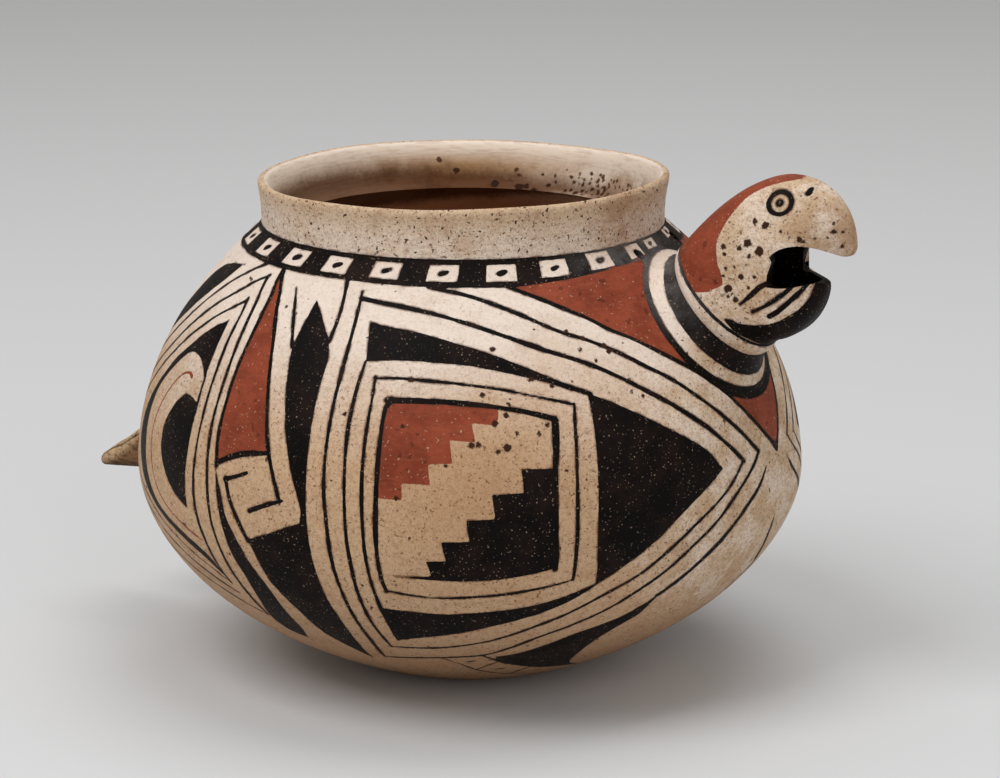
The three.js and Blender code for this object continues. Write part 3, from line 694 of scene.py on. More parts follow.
def mirrored(mark: Stroke | Patch) -> Stroke | Patch:
    """The same mark on the jar's far side.

    Args:
        mark: a mark of the near side.

    Returns:
        The mark with its azimuths turned over about the red field's point, by less the nearer it is
        to the tail.
    """
    def over(curve: Curve) -> Curve:
        return tuple((-a + 2 * POINT_AZIMUTH * (1 - abs(a) / 180), z) for a, z in curve)

    if isinstance(mark, Stroke):
        return Stroke(over(mark.points), mark.width, mark.ends, mark.paint)
    return Patch(tuple(over(edge) for edge in mark.edges), mark.paint)


class Canvas:
    """Distances to the edges of the paint at a set of surface points: positive in the paint, in mm,
    and held between -FAR and FAR."""

    LINKS = 12
    CHAIN_STEP = 0.8
    LONGEST_TIP = 5.0

    def __init__(self, first: Array, second: Array, jar: bool) -> None:
        """Starts with nothing painted.

        Args:
            first: azimuths in degrees on the jar, or x in mm on the bird's head.
            second: heights in mm on the jar, or z in mm on the head.
            jar: whether the points are on the jar.
        """
        self.first, self.second, self.jar = first, second, jar
        self.places = self.lay(first, second)
        self.layers = {paint: np.full(len(first), -FAR) for paint in Paint}
        self.rng = np.random.default_rng(BRUSH_SEED)

    def lay(self, first: Array, second: Array) -> Array:
        """Points in space where distances are measured: the even jar, or the head's middle plane."""
        if self.jar:
            return JAR.plain(np.radians(first), second)
        return np.stack([first, 0 * first, second], axis=-1)

    def around(self, chain: Array, margin: float) -> Array:
        """Indices of the points within a margin in mm of a chain's own box."""
        wide = margin
        if self.jar:
            wide = np.degrees(margin / max(float(JAR.radius(chain[:, 1]).min()), 20.0))
        middle = (chain[:, 0].min() + chain[:, 0].max()) / 2
        reach = (chain[:, 0].max() - chain[:, 0].min()) / 2 + wide
        rows = np.abs(self.second - chain[:, 1].mean()) < np.ptp(chain[:, 1]) / 2 + margin + abs(
            chain[:, 1].mean() - (chain[:, 1].min() + chain[:, 1].max()) / 2)
        return np.nonzero(rows & (np.abs(self.first - middle) < reach))[0]

    def edge_distance(self, chain: Array, half: Array) -> Array:
        """Distance of every point to a chain, less its half width, and FAR where it is further.

        Args:
            chain: the chain in the canvas's own two coordinates.
            half: its half width at each corner.

        Returns:
            One distance per point.
        """
        out = np.full(len(self.first), FAR)
        space = self.lay(chain[:, 0], chain[:, 1])
        for start in range(0, len(chain) - 1, self.LINKS):
            part = slice(start, start + self.LINKS + 1)
            near = self.around(chain[part], FAR / 2 + float(half[part].max()))
            if len(near):
                out[near] = np.minimum(out[near], to_chain(self.places[near], space[part], half[part]))
        return out

    def stroke(self, mark: Stroke) -> Array:
        """Distance field of a brush line, whose width swells and thins a little along it."""
        chain = through(np.array(mark.points), self.CHAIN_STEP)
        run = run_along(self.lay(chain[:, 0], chain[:, 1]))
        phase = self.rng.uniform(0, 6.3, 2)
        uneven = 1 + 0.1 * np.sin(run / 7.0 + phase[0]) + 0.07 * np.sin(run / 2.9 + phase[1])
        tip = min(self.LONGEST_TIP, run[-1] / 2)
        taper = (mark.ends[0] + (1 - mark.ends[0]) * smoothstep(0, tip, run)) * (
            mark.ends[1] + (1 - mark.ends[1]) * smoothstep(0, tip, run[-1] - run))
        return -self.edge_distance(chain, mark.width / 2 * uneven * taper)

    def patch(self, mark: Patch) -> Array:
        """Distance field of a painted field."""
        parts = []
        for edge, after in zip(mark.edges, mark.edges[1:] + mark.edges[:1]):
            parts.append(through(np.array(edge + after[:1]), self.CHAIN_STEP)[:-1])
        ring = np.vstack(parts)
        closed = np.vstack([ring, ring[:1]])
        distance = self.edge_distance(closed, np.zeros(len(closed)))
        held = self.around(closed, 0.5)
        sign = np.full(len(self.first), -1.0)
        sign[held[inside(self.first[held], self.second[held], ring)]] = 1.0
        return sign * distance

    def lay_on(self, paint: Paint, distance: Array) -> None:
        """Adds a paint where a distance to its edge in mm is positive."""
        layer = self.layers[paint]
        np.maximum(layer, np.clip(distance, -FAR, FAR), out=layer)

    def add(self, mark: Stroke | Patch) -> None:
        """Paints a mark over what is there."""
        self.lay_on(mark.paint, self.stroke(mark) if isinstance(mark, Stroke) else self.patch(mark))

    def spare(self, mark: Patch) -> None:
        """Leaves a mark's field free of its paint."""
        layer = self.layers[mark.paint]
        np.minimum(layer, -self.patch(mark), out=layer)

    def dot(self, place: Point, radius: float) -> None:
        """Burns a round spot in."""
        at = self.lay(np.array([place[0]]), np.array([place[1]]))
        self.lay_on(Paint.SPOT, radius - np.linalg.norm(self.places - at, axis=1))

    def values(self) -> dict[str, Array]:
        """The distance to each paint's edge, by the paint's attribute name."""
        return {paint.value: layer for paint, layer in self.layers.items()}


def painted_jar(azimuth: Array, height: Array) -> dict[str, Array]:
    """Lays the whole pattern out on the jar's outside.

    Args:
        azimuth: the surface points' azimuths in degrees.
        height: their heights in mm.

    Returns:
        The distance to each paint's edge, by the paint's attribute name.
    """
    canvas = Canvas(azimuth, height, jar=True)
    for mark in PANEL + SIDE:
        canvas.add(mark)
        canvas.add(mirrored(mark))
    for mark in FRONT:
        canvas.add(mark)
    for a, z, radius in SPOTS:
        canvas.dot((a, z), radius * SPOT_SHARE)
    edge_azimuth, edge_height = np.array(BAND_EDGE).T
    over_edge = height - np.interp(azimuth, edge_azimuth, edge_height)
    canvas.lay_on(Paint.BLACK, over_edge * np.hypot(1, JAR.slope(height)))
    # Each cell of the band is left bare, with a short black stroke in it
    for middle in BAND_CELLS:
        low = float(np.interp(middle, edge_azimuth, edge_height))
        z = low + BAND_MIDDLE * (JAR.foot_height - low)
        canvas.spare(Patch(cell(middle, z, BAND_WIDE, BAND_TALL, BAND_LEAN)))
        canvas.add(Stroke(((middle - 0.5, z - 0.15), (middle + 1.7, z + 0.5)), 1.9, (1.0, 0.1)))
    for middle, z, wide, tall in NECK_CELLS:
        canvas.spare(Patch(cell(middle, z, wide, tall, NECK_CELL_LEAN)))
        canvas.add(Stroke(((middle - 0.6, z - 0.1), (middle + 1.3, z + 0.3)), 1.4, (1.0, 0.1)))
    canvas.spare(Patch(cell(*HOLE_CELL)))
    canvas.lay_on(Paint.BLACK, NECK.outline_edge(canvas.places))
    return canvas.values()


# The neck, the ring and the bird's head


@dataclass(frozen=True)
class NeckForm:
    """Sizes of the neck and of the ring at its end, in mm and degrees."""

    drop: float = 21.2
    root: float = 25.4
    waist: float = 18.9
    bore: float = 13.0
    reach: float = 8.5
    rise: float = 56.5
    ring_tilt: float = 45.0
    ring_length: float = 3.4
    ring_bulge: float = 0.5
    ring_rows: int = 15
    ring_line: float = 0.306
    outline: float = 26.3
    # How hard the profile is pulled along the wall at its foot, and along the climb at its top
    foot_pull: float = 1.05
    top_pull: float = 0.75
    columns: int = 600
    rows: int = 34

    @property
    def height(self) -> float:
        """Height of the neck's middle on the wall."""
        return JAR.foot_height - self.drop

    @property
    def tilt(self) -> float:
        """Elevation of the wall's normal at the neck, in radians."""
        return float(np.arctan(-JAR.slope(np.array(self.height))))

    @property
    def axis(self) -> Array:
        """The wall's normal at the neck, along which the bore runs."""
        return np.array([np.cos(self.tilt), 0.0, np.sin(self.tilt)])

    @property
    def start(self) -> Array:
        """The neck's middle on the wall."""
        z = np.array(self.height)
        return np.array([float(JAR.radius(z) + JAR.wander(z)), 0.0, self.height])

    @property
    def end(self) -> Array:
        """The middle of the ring's outer face."""
        rise = np.radians(self.rise)
        return self.start + self.reach * np.array([np.cos(rise), 0.0, np.sin(rise)])

    def spokes(self, tilt: float, turns: Array) -> Array:
        """Unit vectors round an axis that leans up by a tilt, from +Y by way of the top."""
        up = np.array([-np.sin(tilt), 0.0, np.cos(tilt)])
        return np.cos(turns)[:, None] * np.array([0.0, 1.0, 0.0]) + np.sin(turns)[:, None] * up

    def loop(self, share: float, radius: float, turns: Array) -> Array:
        """A round section of the neck at a share of its climb."""
        tilt = self.tilt + (np.radians(self.ring_tilt) - self.tilt) * max(share, 0.0)
        return self.start + (self.end - self.start) * share + radius * self.spokes(tilt, turns)

    def on_wall(self, radius: Array, turns: Array, sink: float = 0.0) -> Array:
        """Points of the jar's outside at a distance from the neck's axis, found by halving the
        stretch of a line parallel to that axis in which the wall lies.

        Args:
            radius: distances from the axis.
            turns: angles round it.
            sink: how far under the surface the points are set, in mm.

        Returns:
            One point per angle.
        """
        base = self.start + np.broadcast_to(radius, turns.shape)[:, None] * self.spokes(self.tilt, turns)
        low, high = np.full(len(turns), -30.0), np.full(len(turns), 8.0)
        for _ in range(40):
            t = (low + high) / 2
            p = base + t[:, None] * self.axis
            around = np.arctan2(p[:, 1], p[:, 0] - JAR.wander(p[:, 2]))
            over = np.hypot(p[:, 0] - JAR.wander(p[:, 2]), p[:, 1]) - (
                JAR.radius(p[:, 2]) + JAR.swell(around, p[:, 2]))
            low, high = np.where(over < 0, t, low), np.where(over < 0, high, t)
        return base + (low - sink)[:, None] * self.axis

    def outline_edge(self, places: Array) -> Array:
        """How far inside the neck's black outline the jar's surface points lie, in mm."""
        off = places - self.start
        along = off @ self.axis
        across = off - along[:, None] * self.axis
        turn = np.arctan2(across @ self.spokes(self.tilt, np.array([np.pi / 2]))[0], across[:, 1])
        edge = self.outline - 0.2 * np.cos(turn) - 0.7 * np.sin(turn) + 0.3 * np.cos(2 * turn + 1.0)
        near = (places[:, 0] > 0) & (np.abs(along) < 20)
        return np.where(near, edge - np.linalg.norm(across, axis=1), -FAR)


NECK = NeckForm()


@dataclass
class Neck:
    """The neck and its ring, with painted bands."""

    form: NeckForm = NECK

    def bands(self, share: Array, turns: Array) -> Array:
        """Distance to the edge of the neck's black bands.

        Args:
            share: how far along the neck's profile a point is, from the wall to the ring, in mm.
            turns: its angle round the neck.

        Returns:
            Positive in the black foot line and in the wide black band, in mm.
        """
        foot = 1.5 - 0.6 * np.sin(turns) + 0.2 * np.sin(3 * turns + 1)
        wide = foot + 4.0 + 0.5 * np.sin(turns) + 0.15 * np.cos(2 * turns)
        return np.maximum(foot - share, share - wide)

    def build(self, finish: Material, dark: Material) -> None:
        """Makes both pieces.

        Args:
            finish: the painted slip.
            dark: the same slip, as the neck's own slot wears it.
        """
        f = self.form
        turns = circle(f.columns)
        ring_start = 1 - f.ring_length / f.reach
        root = f.on_wall(f.root, turns, 0.03)
        nearer = f.on_wall(f.root - 1.0, turns, 0.03)
        top = f.loop(ring_start, f.waist, turns)
        climb = unit(f.end - f.start)
        # Each column is a cubic that leaves the wall along it and meets the ring along the climb
        reach = np.linalg.norm(top - root, axis=1)[:, None]
        leave, arrive = unit(nearer - root) * reach * f.foot_pull, climb * reach * f.top_pull
        s = np.linspace(0, 1, f.rows)[:, None, None]
        outer = ((2 * s**3 - 3 * s**2 + 1) * root + (s**3 - 2 * s**2 + s) * leave
                 + (3 * s**2 - 2 * s**3) * top + (s**3 - s**2) * arrive)
        run = np.concatenate([np.zeros((1, f.columns)),
                              np.cumsum(np.linalg.norm(np.diff(outer, axis=0), axis=2), axis=0)])
        under = f.on_wall(f.bore, turns, 0.2)
        inner = np.stack([f.loop(ring_start, f.bore, turns), f.loop(ring_start * 0.5, f.bore, turns), under])
        deep = f.on_wall(f.root - 0.3, turns, 0.4)
        # The bore and the hidden part under the wall are painted black, as painted shade
        black = np.concatenate([self.bands(run, turns[None, :]).ravel(), np.full(4 * f.columns, FAR)])
        build = Build()
        build.add(np.concatenate([outer.reshape(-1, 3), inner.reshape(-1, 3), deep]), black_mm=black)
        build.close_loops(0, f.rows + 4, f.columns)
        place("neck_tube", build, dark, Slot.BLACK)
        self.ring(turns, finish)

    def ring(self, turns: Array, finish: Material) -> None:
        """Makes the raised ring between the neck and the head."""
        f = self.form
        ring_start = 1 - f.ring_length / f.reach
        low, high = f.loop(ring_start, f.waist, turns), HEAD.loop(0.0, 0.0, f.columns)
        s = np.linspace(0, 1, f.ring_rows)[:, None, None]
        spokes = f.spokes(np.radians(f.ring_tilt), turns)
        bulge = f.ring_bulge * np.sin(np.pi * s) ** 0.6
        outer = low * (1 - s) + high * s + bulge * spokes
        inner = np.stack([f.loop(1.0, f.bore, turns), f.loop(ring_start, f.bore, turns)])
        # A thin black line ends the ring where the head starts
        black = (s[:, :, 0] - 1 + 0 * turns) * f.ring_length + f.ring_line
        build = Build()
        # The ring's bore is painted black, as painted shade
        build.add(np.concatenate([outer.reshape(-1, 3), inner.reshape(-1, 3)]),
                  black_mm=np.concatenate([black.ravel(), np.full(2 * f.columns, FAR)]))
        build.close_loops(0, f.ring_rows + 2, f.columns)
        place("neck_ring", build, finish, Slot.SLIP)


def rounded(value: Array, power: float) -> Array:
    """The value's size to the power 2 / power, with its own sign."""
    return np.sign(value) * np.abs(value) ** (2 / power)


def evenly(points: Array, count: int, closed: bool) -> Array:
    """Points set at even distances along a polyline.

    Args:
        points: its corners.
        count: how many points are wanted.
        closed: whether the last corner joins the first.

    Returns:
        The new points, of which the first is the polyline's first.
    """
    p = np.vstack([points, points[:1]]) if closed else points
    run = run_along(p)
    at = np.linspace(0, run[-1], count + 1)[:-1] if closed else np.linspace(0, run[-1], count)
    return np.stack([np.interp(at, run, p[:, i]) for i in range(3)], axis=-1)


@dataclass(frozen=True)
class HeadForm:
    """Sizes of the bird's head in mm, along X and Z from the middle of its back, at the ring."""

    radius: float = 19.4
    wall: float = 4.6
    face: float = 18.3
    crest: float = 36.1
    crown: Point = (5.0, 35.6)
    chin: float = 10.9
    cheek: float = 16.0
    squareness: float = 3.7
    mouth: Point = (6.4, 14.8)
    mouth_slant: float = 0.32
    pinch: float = 0.39
    beak_reach: float = 21.0
    beak_fullness: float = 2.2
    beak_droop: float = 0.4
    beak_tip: Point = (2.4, 3.0)
    tip_squareness: float = 2.2
    narrowing: float = 1.3
    palate: Point = (0.6, 3.4)
    scoop_reach: float = 12.9
    scoop_fullness: float = 1.6
    scoop_tip: Point = (2.0, 3.2)
    scoop_wall: float = 2.2
    scoop_dip: float = 0.7
    seat: float = 0.3
    arc: int = 1440

    @property
    def origin(self) -> Array:
        """The middle of the head's own back, a seating gap off the ring's face."""
        tilt = np.radians(NECK.ring_tilt)
        return NECK.end + self.seat * np.array([np.cos(tilt), 0.0, np.sin(tilt)])

    def thinned(self, points: Array, share: float) -> Array:
        """Narrows the head towards its crest, by more the nearer it is to the face.

        Args:
            points: points in the head's own frame.
            share: 0 at the ring and 1 from the face on.

        Returns:
            The points with their sideways coordinate reduced.
        """
        rise = smoothstep(10, 40, points[:, 2])
        out = points.copy()
        out[:, 1] *= 1 - self.pinch * share * rise
        return out

    def loop(self, share: float, inset: float, count: int) -> Array:
        """A section of the head at a share of the way from the ring to the face.

        Args:
            share: 0 at the ring, 1 at the face.
            inset: how far inside the outside it runs.
            count: its number of points.

        Returns:
            The points in the row frame, round from +Y by way of the crest.
        """
        tilt = np.radians(NECK.ring_tilt)
        nape = self.radius * np.array([-np.sin(tilt), np.cos(tilt)])
        throat = -nape
        s = share
        crown, face_top = np.array(self.crown), np.array([self.face, self.crest])
        top = (nape * (1 - s) + crown * s) * (1 - s) + (crown * (1 - s) + face_top * s) * s
        bottom = throat * (1 - s) + np.array([self.face, -self.chin]) * s
        tall = float(np.linalg.norm(top - bottom))
        along = (top - bottom) / tall
        low, high = self.mouth
        middle = 0.5 + (((low + high) / 2 + self.chin) / (self.crest + self.chin) - 0.5) * s
        straight = (high - low) / 2 * s
        power = 2 + (self.squareness - 2) * s
        ease = s * (2 - s)
        half = self.radius + (self.cheek - self.radius) * ease
        angle = np.linspace(0, 2 * np.pi, self.arc + 1)[:-1]
        up = np.sin(angle) >= 0
        side = np.where(up, 1 - middle, middle)
        sine = np.abs(np.sin(angle))
        reach = straight + rounded(sine, power) * (side * tall - straight - inset)
        rise = middle * tall + np.where(up, 1, -1) * reach
        out = rounded(np.cos(angle), power) * (half - inset)
        x, z = bottom[0] + along[0] * rise, bottom[1] + along[1] * rise
        points = self.thinned(np.stack([x, out, z], axis=-1), s)
        return evenly(points, count, True) + self.origin

    def arch(self, root: Array, ridge: Array, half: float, power: float, depth: float,
             wall: float, count: int) -> Array:
        """A loop across a beak, over its ridge from edge to edge and back round its hollow.

        Args:
            root: [x, z] of the section's open side.
            ridge: [x, z] of its ridge.
            half: half its width.
            power: the higher, the squarer it is.
            depth: the hollow's depth as a share of the section's height.
            wall: the thickness round the hollow.
            count: points over the ridge, and as many back.

        Returns:
            The points in the row frame.
        """
        turn = np.linspace(0, np.pi, self.arc // 2 + 1)
        tall = float(np.linalg.norm(ridge - root))
        hollow = max(1 - wall / max(tall, 1e-6), 0.0) * depth
        parts = []
        for wide, high in ((half, 1.0), (half - min(wall, half / 2), hollow)):
            rise = rounded(np.maximum(np.sin(turn), 0), power) * high
            out = rounded(np.cos(turn), power) * wide
            x = root[0] + (ridge[0] - root[0]) * rise
            z = root[1] + (ridge[1] - root[1]) * rise
            parts.append(evenly(self.thinned(np.stack([x, out, z], axis=-1), 1.0), count, False))
        return np.concatenate([parts[0], parts[1][::-1]]) + self.origin


HEAD = HeadForm()

# The head's paint, along X and Z from the middle of its back
HEAD_MARKS: tuple[Stroke | Patch, ...] = (
    Patch((((-16.0, 2.6), (1.0, 3.8), (2.6, 4.5)), ((5.6, 6.2), (5.1, 8.7), (3.6, 12.6), (2.7, 16.6),
            (3.0, 19.6), (4.1, 22.6), (6.0, 26.3), (9.3, 30.6), (14.1, 33.6), (18.8, 35.2)),
           ((22.4, 35.8),), ((26.5, 36.1),), ((26.5, 46.0),), ((-16.0, 46.0),)), Paint.RED),
    Patch((((28.0, 12.0), (28.4, 7.4), (28.4, 5.0), (27.8, 2.4), (26.2, 0.0), (24.8, -1.3), (20.7, -3.9),
            (15.7, -5.1), (10.6, -4.9)), ((8.1, -3.7), (6.2, -3.8), (9.0, -8.0), (14.0, -14.0)),
           ((14.0, -30.0),), ((50.0, -30.0),), ((50.0, 12.0),))),
    Stroke(((18.8, 7.6), (16.5, 6.3), (13.6, 3.5), (10.9, 1.0)), 1.8, (1.1, 0.45)),
    Stroke(((24.1, 6.3), (22.6, 4.5), (20.9, 3.0), (18.0, 0.9), (14.3, -1.1)), 1.45, (0.8, 0.8)),
    Stroke(((27.0, 6.4), (25.8, 4.4), (23.6, 1.8), (21.6, -0.4), (19.3, -2.1)), 1.5, (0.7, 1.0)),
    Stroke(((27.0, 34.0), (26.9, 32.9)), 1.5, (0.2, 1.1)),
)
HEAD_DOTS: tuple[Triple, ...] = (
    (13.4, 24.5, 0.75), (16.7, 23.6, 1.0), (12.2, 18.5, 1.15), (15.7, 16.5, 1.25), (9.8, 17.0, 0.7),
    (4.9, 17.0, 0.75), (5.5, 15.1, 0.5), (12.8, 14.9, 0.6), (10.9, 8.7, 0.8), (14.8, 9.0, 0.45),
    (7.2, 5.2, 1.0), (9.4, 2.2, 0.75), (21.2, 22.3, 0.4), (26.2, 20.1, 0.65), (27.1, 19.4, 0.5),
    (34.8, 22.2, 0.6), (36.6, 22.0, 0.4), (36.6, 17.9, 0.45), (6.1, 11.0, 0.35), (8.6, 11.6, 0.35),
    (13.0, 5.9, 0.3), (10.2, 12.0, 0.25), (5.6, 8.8, 0.3), (7.4, 2.9, 0.35), (8.4, 3.9, 0.3),
    (12.0, 12.4, 0.3), (23.6, 20.6, 0.3), (30.2, 20.4, 0.35), (33.2, 20.6, 0.3),
)
# The eye's middle, and the outer and inner radius of its ring
EYE: tuple[float, float, float, float] = (19.7, 29.9, 4.0, 2.55)
EYE_FLATNESS = 1.1
PUPIL_RADIUS = 1.2
# How far the black line round the head's back reaches over it
BACK_LINE = 0.7


def painted_head(points: Array) -> dict[str, Array]:
    """Lays the head's paint out, the same on both of its sides.

    Args:
        points: surface points in the row frame.

    Returns:
        The distance to each paint's edge, by the paint's attribute name.
    """
    local = points - HEAD.origin
    canvas = Canvas(local[:, 0], local[:, 2], jar=False)
    for mark in HEAD_MARKS:
        canvas.add(mark)
    for x, z, radius in HEAD_DOTS:
        canvas.dot((x, z), radius)
    x, z, outer, inner = EYE
    from_eye = np.hypot(local[:, 0] - x, (local[:, 2] - z) * EYE_FLATNESS)
    ring = np.minimum(outer - from_eye, from_eye - inner)
    canvas.lay_on(Paint.BLACK, np.maximum(ring, PUPIL_RADIUS - from_eye))
    tilt = np.radians(NECK.ring_tilt)
    from_ring = local[:, 0] * np.cos(tilt) + local[:, 2] * np.sin(tilt)
    canvas.lay_on(Paint.BLACK, BACK_LINE - from_ring)
    return canvas.values()


@dataclass
class Head:
    """The hollow head and the two halves of its beak."""

    form: HeadForm = HEAD
    columns: int = 480
    rows: int = 80
    inner_rows: int = 12
    beak_columns: int = 200
    upper_rows: int = 110
    lower_rows: int = 90

    def build(self, finish: Material, dark: Material) -> None:
        """Makes the three pieces.

        Args:
            finish: the painted slip.
            dark: the same slip, as the lower beak's own slot wears it.
        """
        self.shell(finish)
        self.beak("upper_beak", self.upper(), finish, Slot.SLIP)
        self.beak("lower_beak", self.lower(), dark, Slot.BLACK)

    def shell(self, finish: Material) -> None:
        """The head from the ring to the face, with its hollow and the rounded cheek edges."""
        f = self.form
        outer = [f.loop(s, 0.0, self.columns) for s in np.linspace(0, 1, self.rows)]
        rim = []
        # The edge of the face rounds over in a half turn, and its open side slants
        steps = np.linspace(0, np.pi, 11)[1:-1]
        for step in steps:
            loop = f.loop(1.0, f.wall / 2 * (1 - np.cos(step)), self.columns)
            z = loop[:, 2] - f.origin[2]
            open_side = smoothstep(f.mouth[0] - 0.2, f.mouth[0] + 1.8, z) * (
                1 - smoothstep(f.mouth[1] - 1.8, f.mouth[1] + 0.2, z))
            loop[:, 0] += (0.5 * np.sin(step) - 0.5 + f.mouth_slant * (z - np.mean(f.mouth))) * open_side
            rim.append(loop)
        inner = [f.loop(s, f.wall, self.columns) for s in np.linspace(1, 0, self.inner_rows)]
        out = np.concatenate(outer + rim)
        paint = painted_head(out)
        # The face's edge is painted black where it turns into the hollow, and the hollow is black too:
        # painted shade
        shade_turned_in = np.concatenate([np.full(self.rows, -1.0), 2 * smoothstep(0.5, 1.7, steps) - 1])
        paint["black_mm"] = np.maximum(paint["black_mm"], FAR * np.repeat(shade_turned_in, self.columns))
        build = Build()
        build.add(out, **paint)
        build.add(np.concatenate(inner), black_mm=FAR)
        build.close_loops(0, len(outer + rim + inner), self.columns)
        place("head_shell", build, finish, Slot.SLIP)

    def upper(self) -> list[Array]:
        """Sections of the upper beak: a hook, hollow under its root and solid at its tip."""
        f = self.form
        tall = f.crest - f.mouth[1] + f.beak_droop
        loops = []
        for share in np.linspace(0, 1, self.upper_rows):
            turn = share * np.pi / 2
            forward, up = (float(rounded(v, f.beak_fullness)) for v in (np.sin(turn), np.cos(turn)))
            ridge = np.array([f.face + f.beak_reach * forward, f.mouth[1] - f.beak_droop + tall * up])
            root = np.array([f.face + (f.beak_reach - f.beak_tip[0]) * share,
                             f.mouth[1] + f.palate[1] * np.sin(np.pi * share**0.75) - f.beak_droop * share])
            # The tip closes in a quarter round over its last part
            blunt = float(np.sqrt(1 - max((share - 0.93) / 0.07, 0.0) ** 2))
            ridge = root + (ridge - root) * (0.25 + 0.75 * blunt)
            half = (f.cheek + (f.beak_tip[1] - f.cheek) * share**f.narrowing) * (0.4 + 0.6 * blunt)
            power = f.squareness + (f.tip_squareness - f.squareness) * share
            depth = max(1 - share / f.palate[0], 0.0)
            loops.append(f.arch(root, ridge, half, power, depth, f.wall, self.beak_columns))
        return loops

    def lower(self) -> list[Array]:
        """Sections of the lower beak: a scoop that ends short of the upper one."""
        f = self.form
        tall = f.mouth[0] + f.chin
        loops = []
        for share in np.linspace(0, 1, self.lower_rows):
            turn = share * np.pi / 2
            forward, down = (float(rounded(v, f.scoop_fullness)) for v in (np.sin(turn), np.cos(turn)))
            ridge = np.array([f.face + f.scoop_reach * forward, f.mouth[0] - tall * down - share])
            dip = f.scoop_dip * float(np.sin(np.pi * share**0.7))
            root = np.array([f.face + (f.scoop_reach - f.scoop_tip[0]) * share, f.mouth[0] - dip])
            half = f.cheek + (f.scoop_tip[1] - f.cheek) * share**f.narrowing
            power = f.squareness + (f.tip_squareness - f.squareness) * share
            wall = f.wall + (f.scoop_wall - f.wall) * float(smoothstep(0, 0.25, share))
            loops.append(f.arch(root, ridge, half, power, max(1 - share, 0.0), wall, self.beak_columns))
        return loops

    def beak(self, node: str, loops: list[Array], finish: Material, slot: Slot) -> None:
        """Makes one half of the beak from its sections, with strips of quads across its two ends.

        Args:
            node: the node that it stands for.
            loops: its sections, from the face forward.
            finish: its material.
            slot: the record's slot.
        """
        count = len(loops[0])
        points = np.concatenate(loops)
        # The beak's hollow side is painted black, as painted shade
        hollow = np.tile(np.arange(count) >= count // 2, len(loops))
        paint = painted_head(points)
        paint["black_mm"] = np.where(hollow, FAR, paint["black_mm"])
        build = Build()
        build.add(points, **paint)
        i = np.arange(count // 2 - 1)
        start = np.stack([i, count - 1 - i, count - 2 - i, i + 1], axis=-1)
        end = (len(loops) - 1) * count + start[:, [0, 3, 2, 1]]
        blocks = [grid_quads(len(loops), count, True), start, end]
        build.faces += blocks if node == "upper_beak" else [block[:, ::-1] for block in blocks]
        place(node, build, finish, slot)


@dataclass
class Tail:
    """The tail lug: nearly level below, falling above in a slightly hollow line, with a rounded tip."""

    underside: float = 46.2
    root_top: float = 76.5
    reach: float = 36.4
    root_half: float = 13.0
    tip_half: float = 2.6
    tip_drop: float = 2.9
    tip_depth: float = 3.6
    bow: float = -2.4
    squareness: float = 2.5
    sink: float = 3.5
    tip_round: float = 2.2
    flare: float = 0.12
    flare_reach: float = 3.0
    # The cracks: depth, and the angle of the one on the near side and its half width, in degrees
    crack: float = 0.8
    crack_turn: float = 48.0
    crack_half: float = 5.0
    arc: int = 1440
    columns: int = 320
    rows: int = 110

    def build(self, finish: Material) -> None:
        """Makes the lug as a row of rounded sections, whose root lies inside the wall and whose tip
        closes in a quarter round. A crack runs under each of its upper edges."""
        wall_x = -float(JAR.radius(np.array(self.underside)))
        angle = np.linspace(0, 2 * np.pi, self.arc + 1)[:-1]
        turn = np.degrees(angle)
        tip_top = self.underside - self.tip_drop + self.tip_depth
        loops, cracks = [], []
        for share in np.linspace(0, 1, self.rows):
            x = wall_x + self.sink - (self.reach + self.sink) * share
            t = (x - wall_x) / -self.reach
            half = self.root_half + (self.tip_half - self.root_half) * t
            low = self.underside - self.tip_drop * t
            amid = np.sin(np.pi * np.clip(t, 0, 1))
            top = self.root_top + (tip_top - self.root_top) * t + self.bow * amid
            left = (1 - share) * (self.reach + self.sink)
            close = float(np.sqrt(max(1 - (1 - min(left / self.tip_round, 1.0)) ** 2, 0.0)))
            flare = 1 + self.flare * float(np.exp(-max(t, 0) * self.reach / self.flare_reach))
            sway = 3 * np.sin(9 * t) + 2 * np.sin(23 * t + 1)
            near = np.exp(-((turn - self.crack_turn - sway) / self.crack_half) ** 2)
            far = np.exp(-((turn - (180 - self.crack_turn) + sway) / self.crack_half) ** 2)
            crack = (near + far) * float(smoothstep(0.25, 0.45, np.array(t)))
            out = rounded(np.cos(angle), self.squareness) * (half * flare - self.crack * crack) * close
            tall = (top - low) / 2 * (1 + 0.03 * (flare - 1))
            rise = rounded(np.sin(angle), self.squareness) * (tall - self.crack * crack) * close
            z = (top + low) / 2 + rise
            lumps = 0.3 * np.sin(11 * t + 2 * np.cos(angle)) + 0.2 * np.sin(29 * t + 3 * np.sin(angle))
            z += lumps * amid * np.maximum(np.sin(angle), 0)
            section = np.stack([x + 0 * out, out, z, crack], axis=-1)
            loops.append(evenly(section[:, :3], self.columns, True))
            cracks.append(evenly(section[:, [3, 1, 2]], self.columns, True)[:, 0])
        build = Build()
        build.add(np.concatenate(loops), inner_mm=np.concatenate(cracks))
        build.faces.append(grid_quads(self.rows, self.columns, True)[:, ::-1])
        hub = build.add(np.array([loops[0].mean(0), loops[-1].mean(0)]))
        build.faces.append(fan(0, self.columns, hub))
        build.faces.append(fan((self.rows - 1) * self.columns, self.columns, hub + 1)[:, ::-1])
        place("tail_lug", build, finish, Slot.CLAY)


# The jar's wall


@dataclass(frozen=True)
class Hole:
    """A round hole through the wall: where its axis meets the outside, the axis, and its radius."""

    place: Triple
    axis: Triple
    radius: float


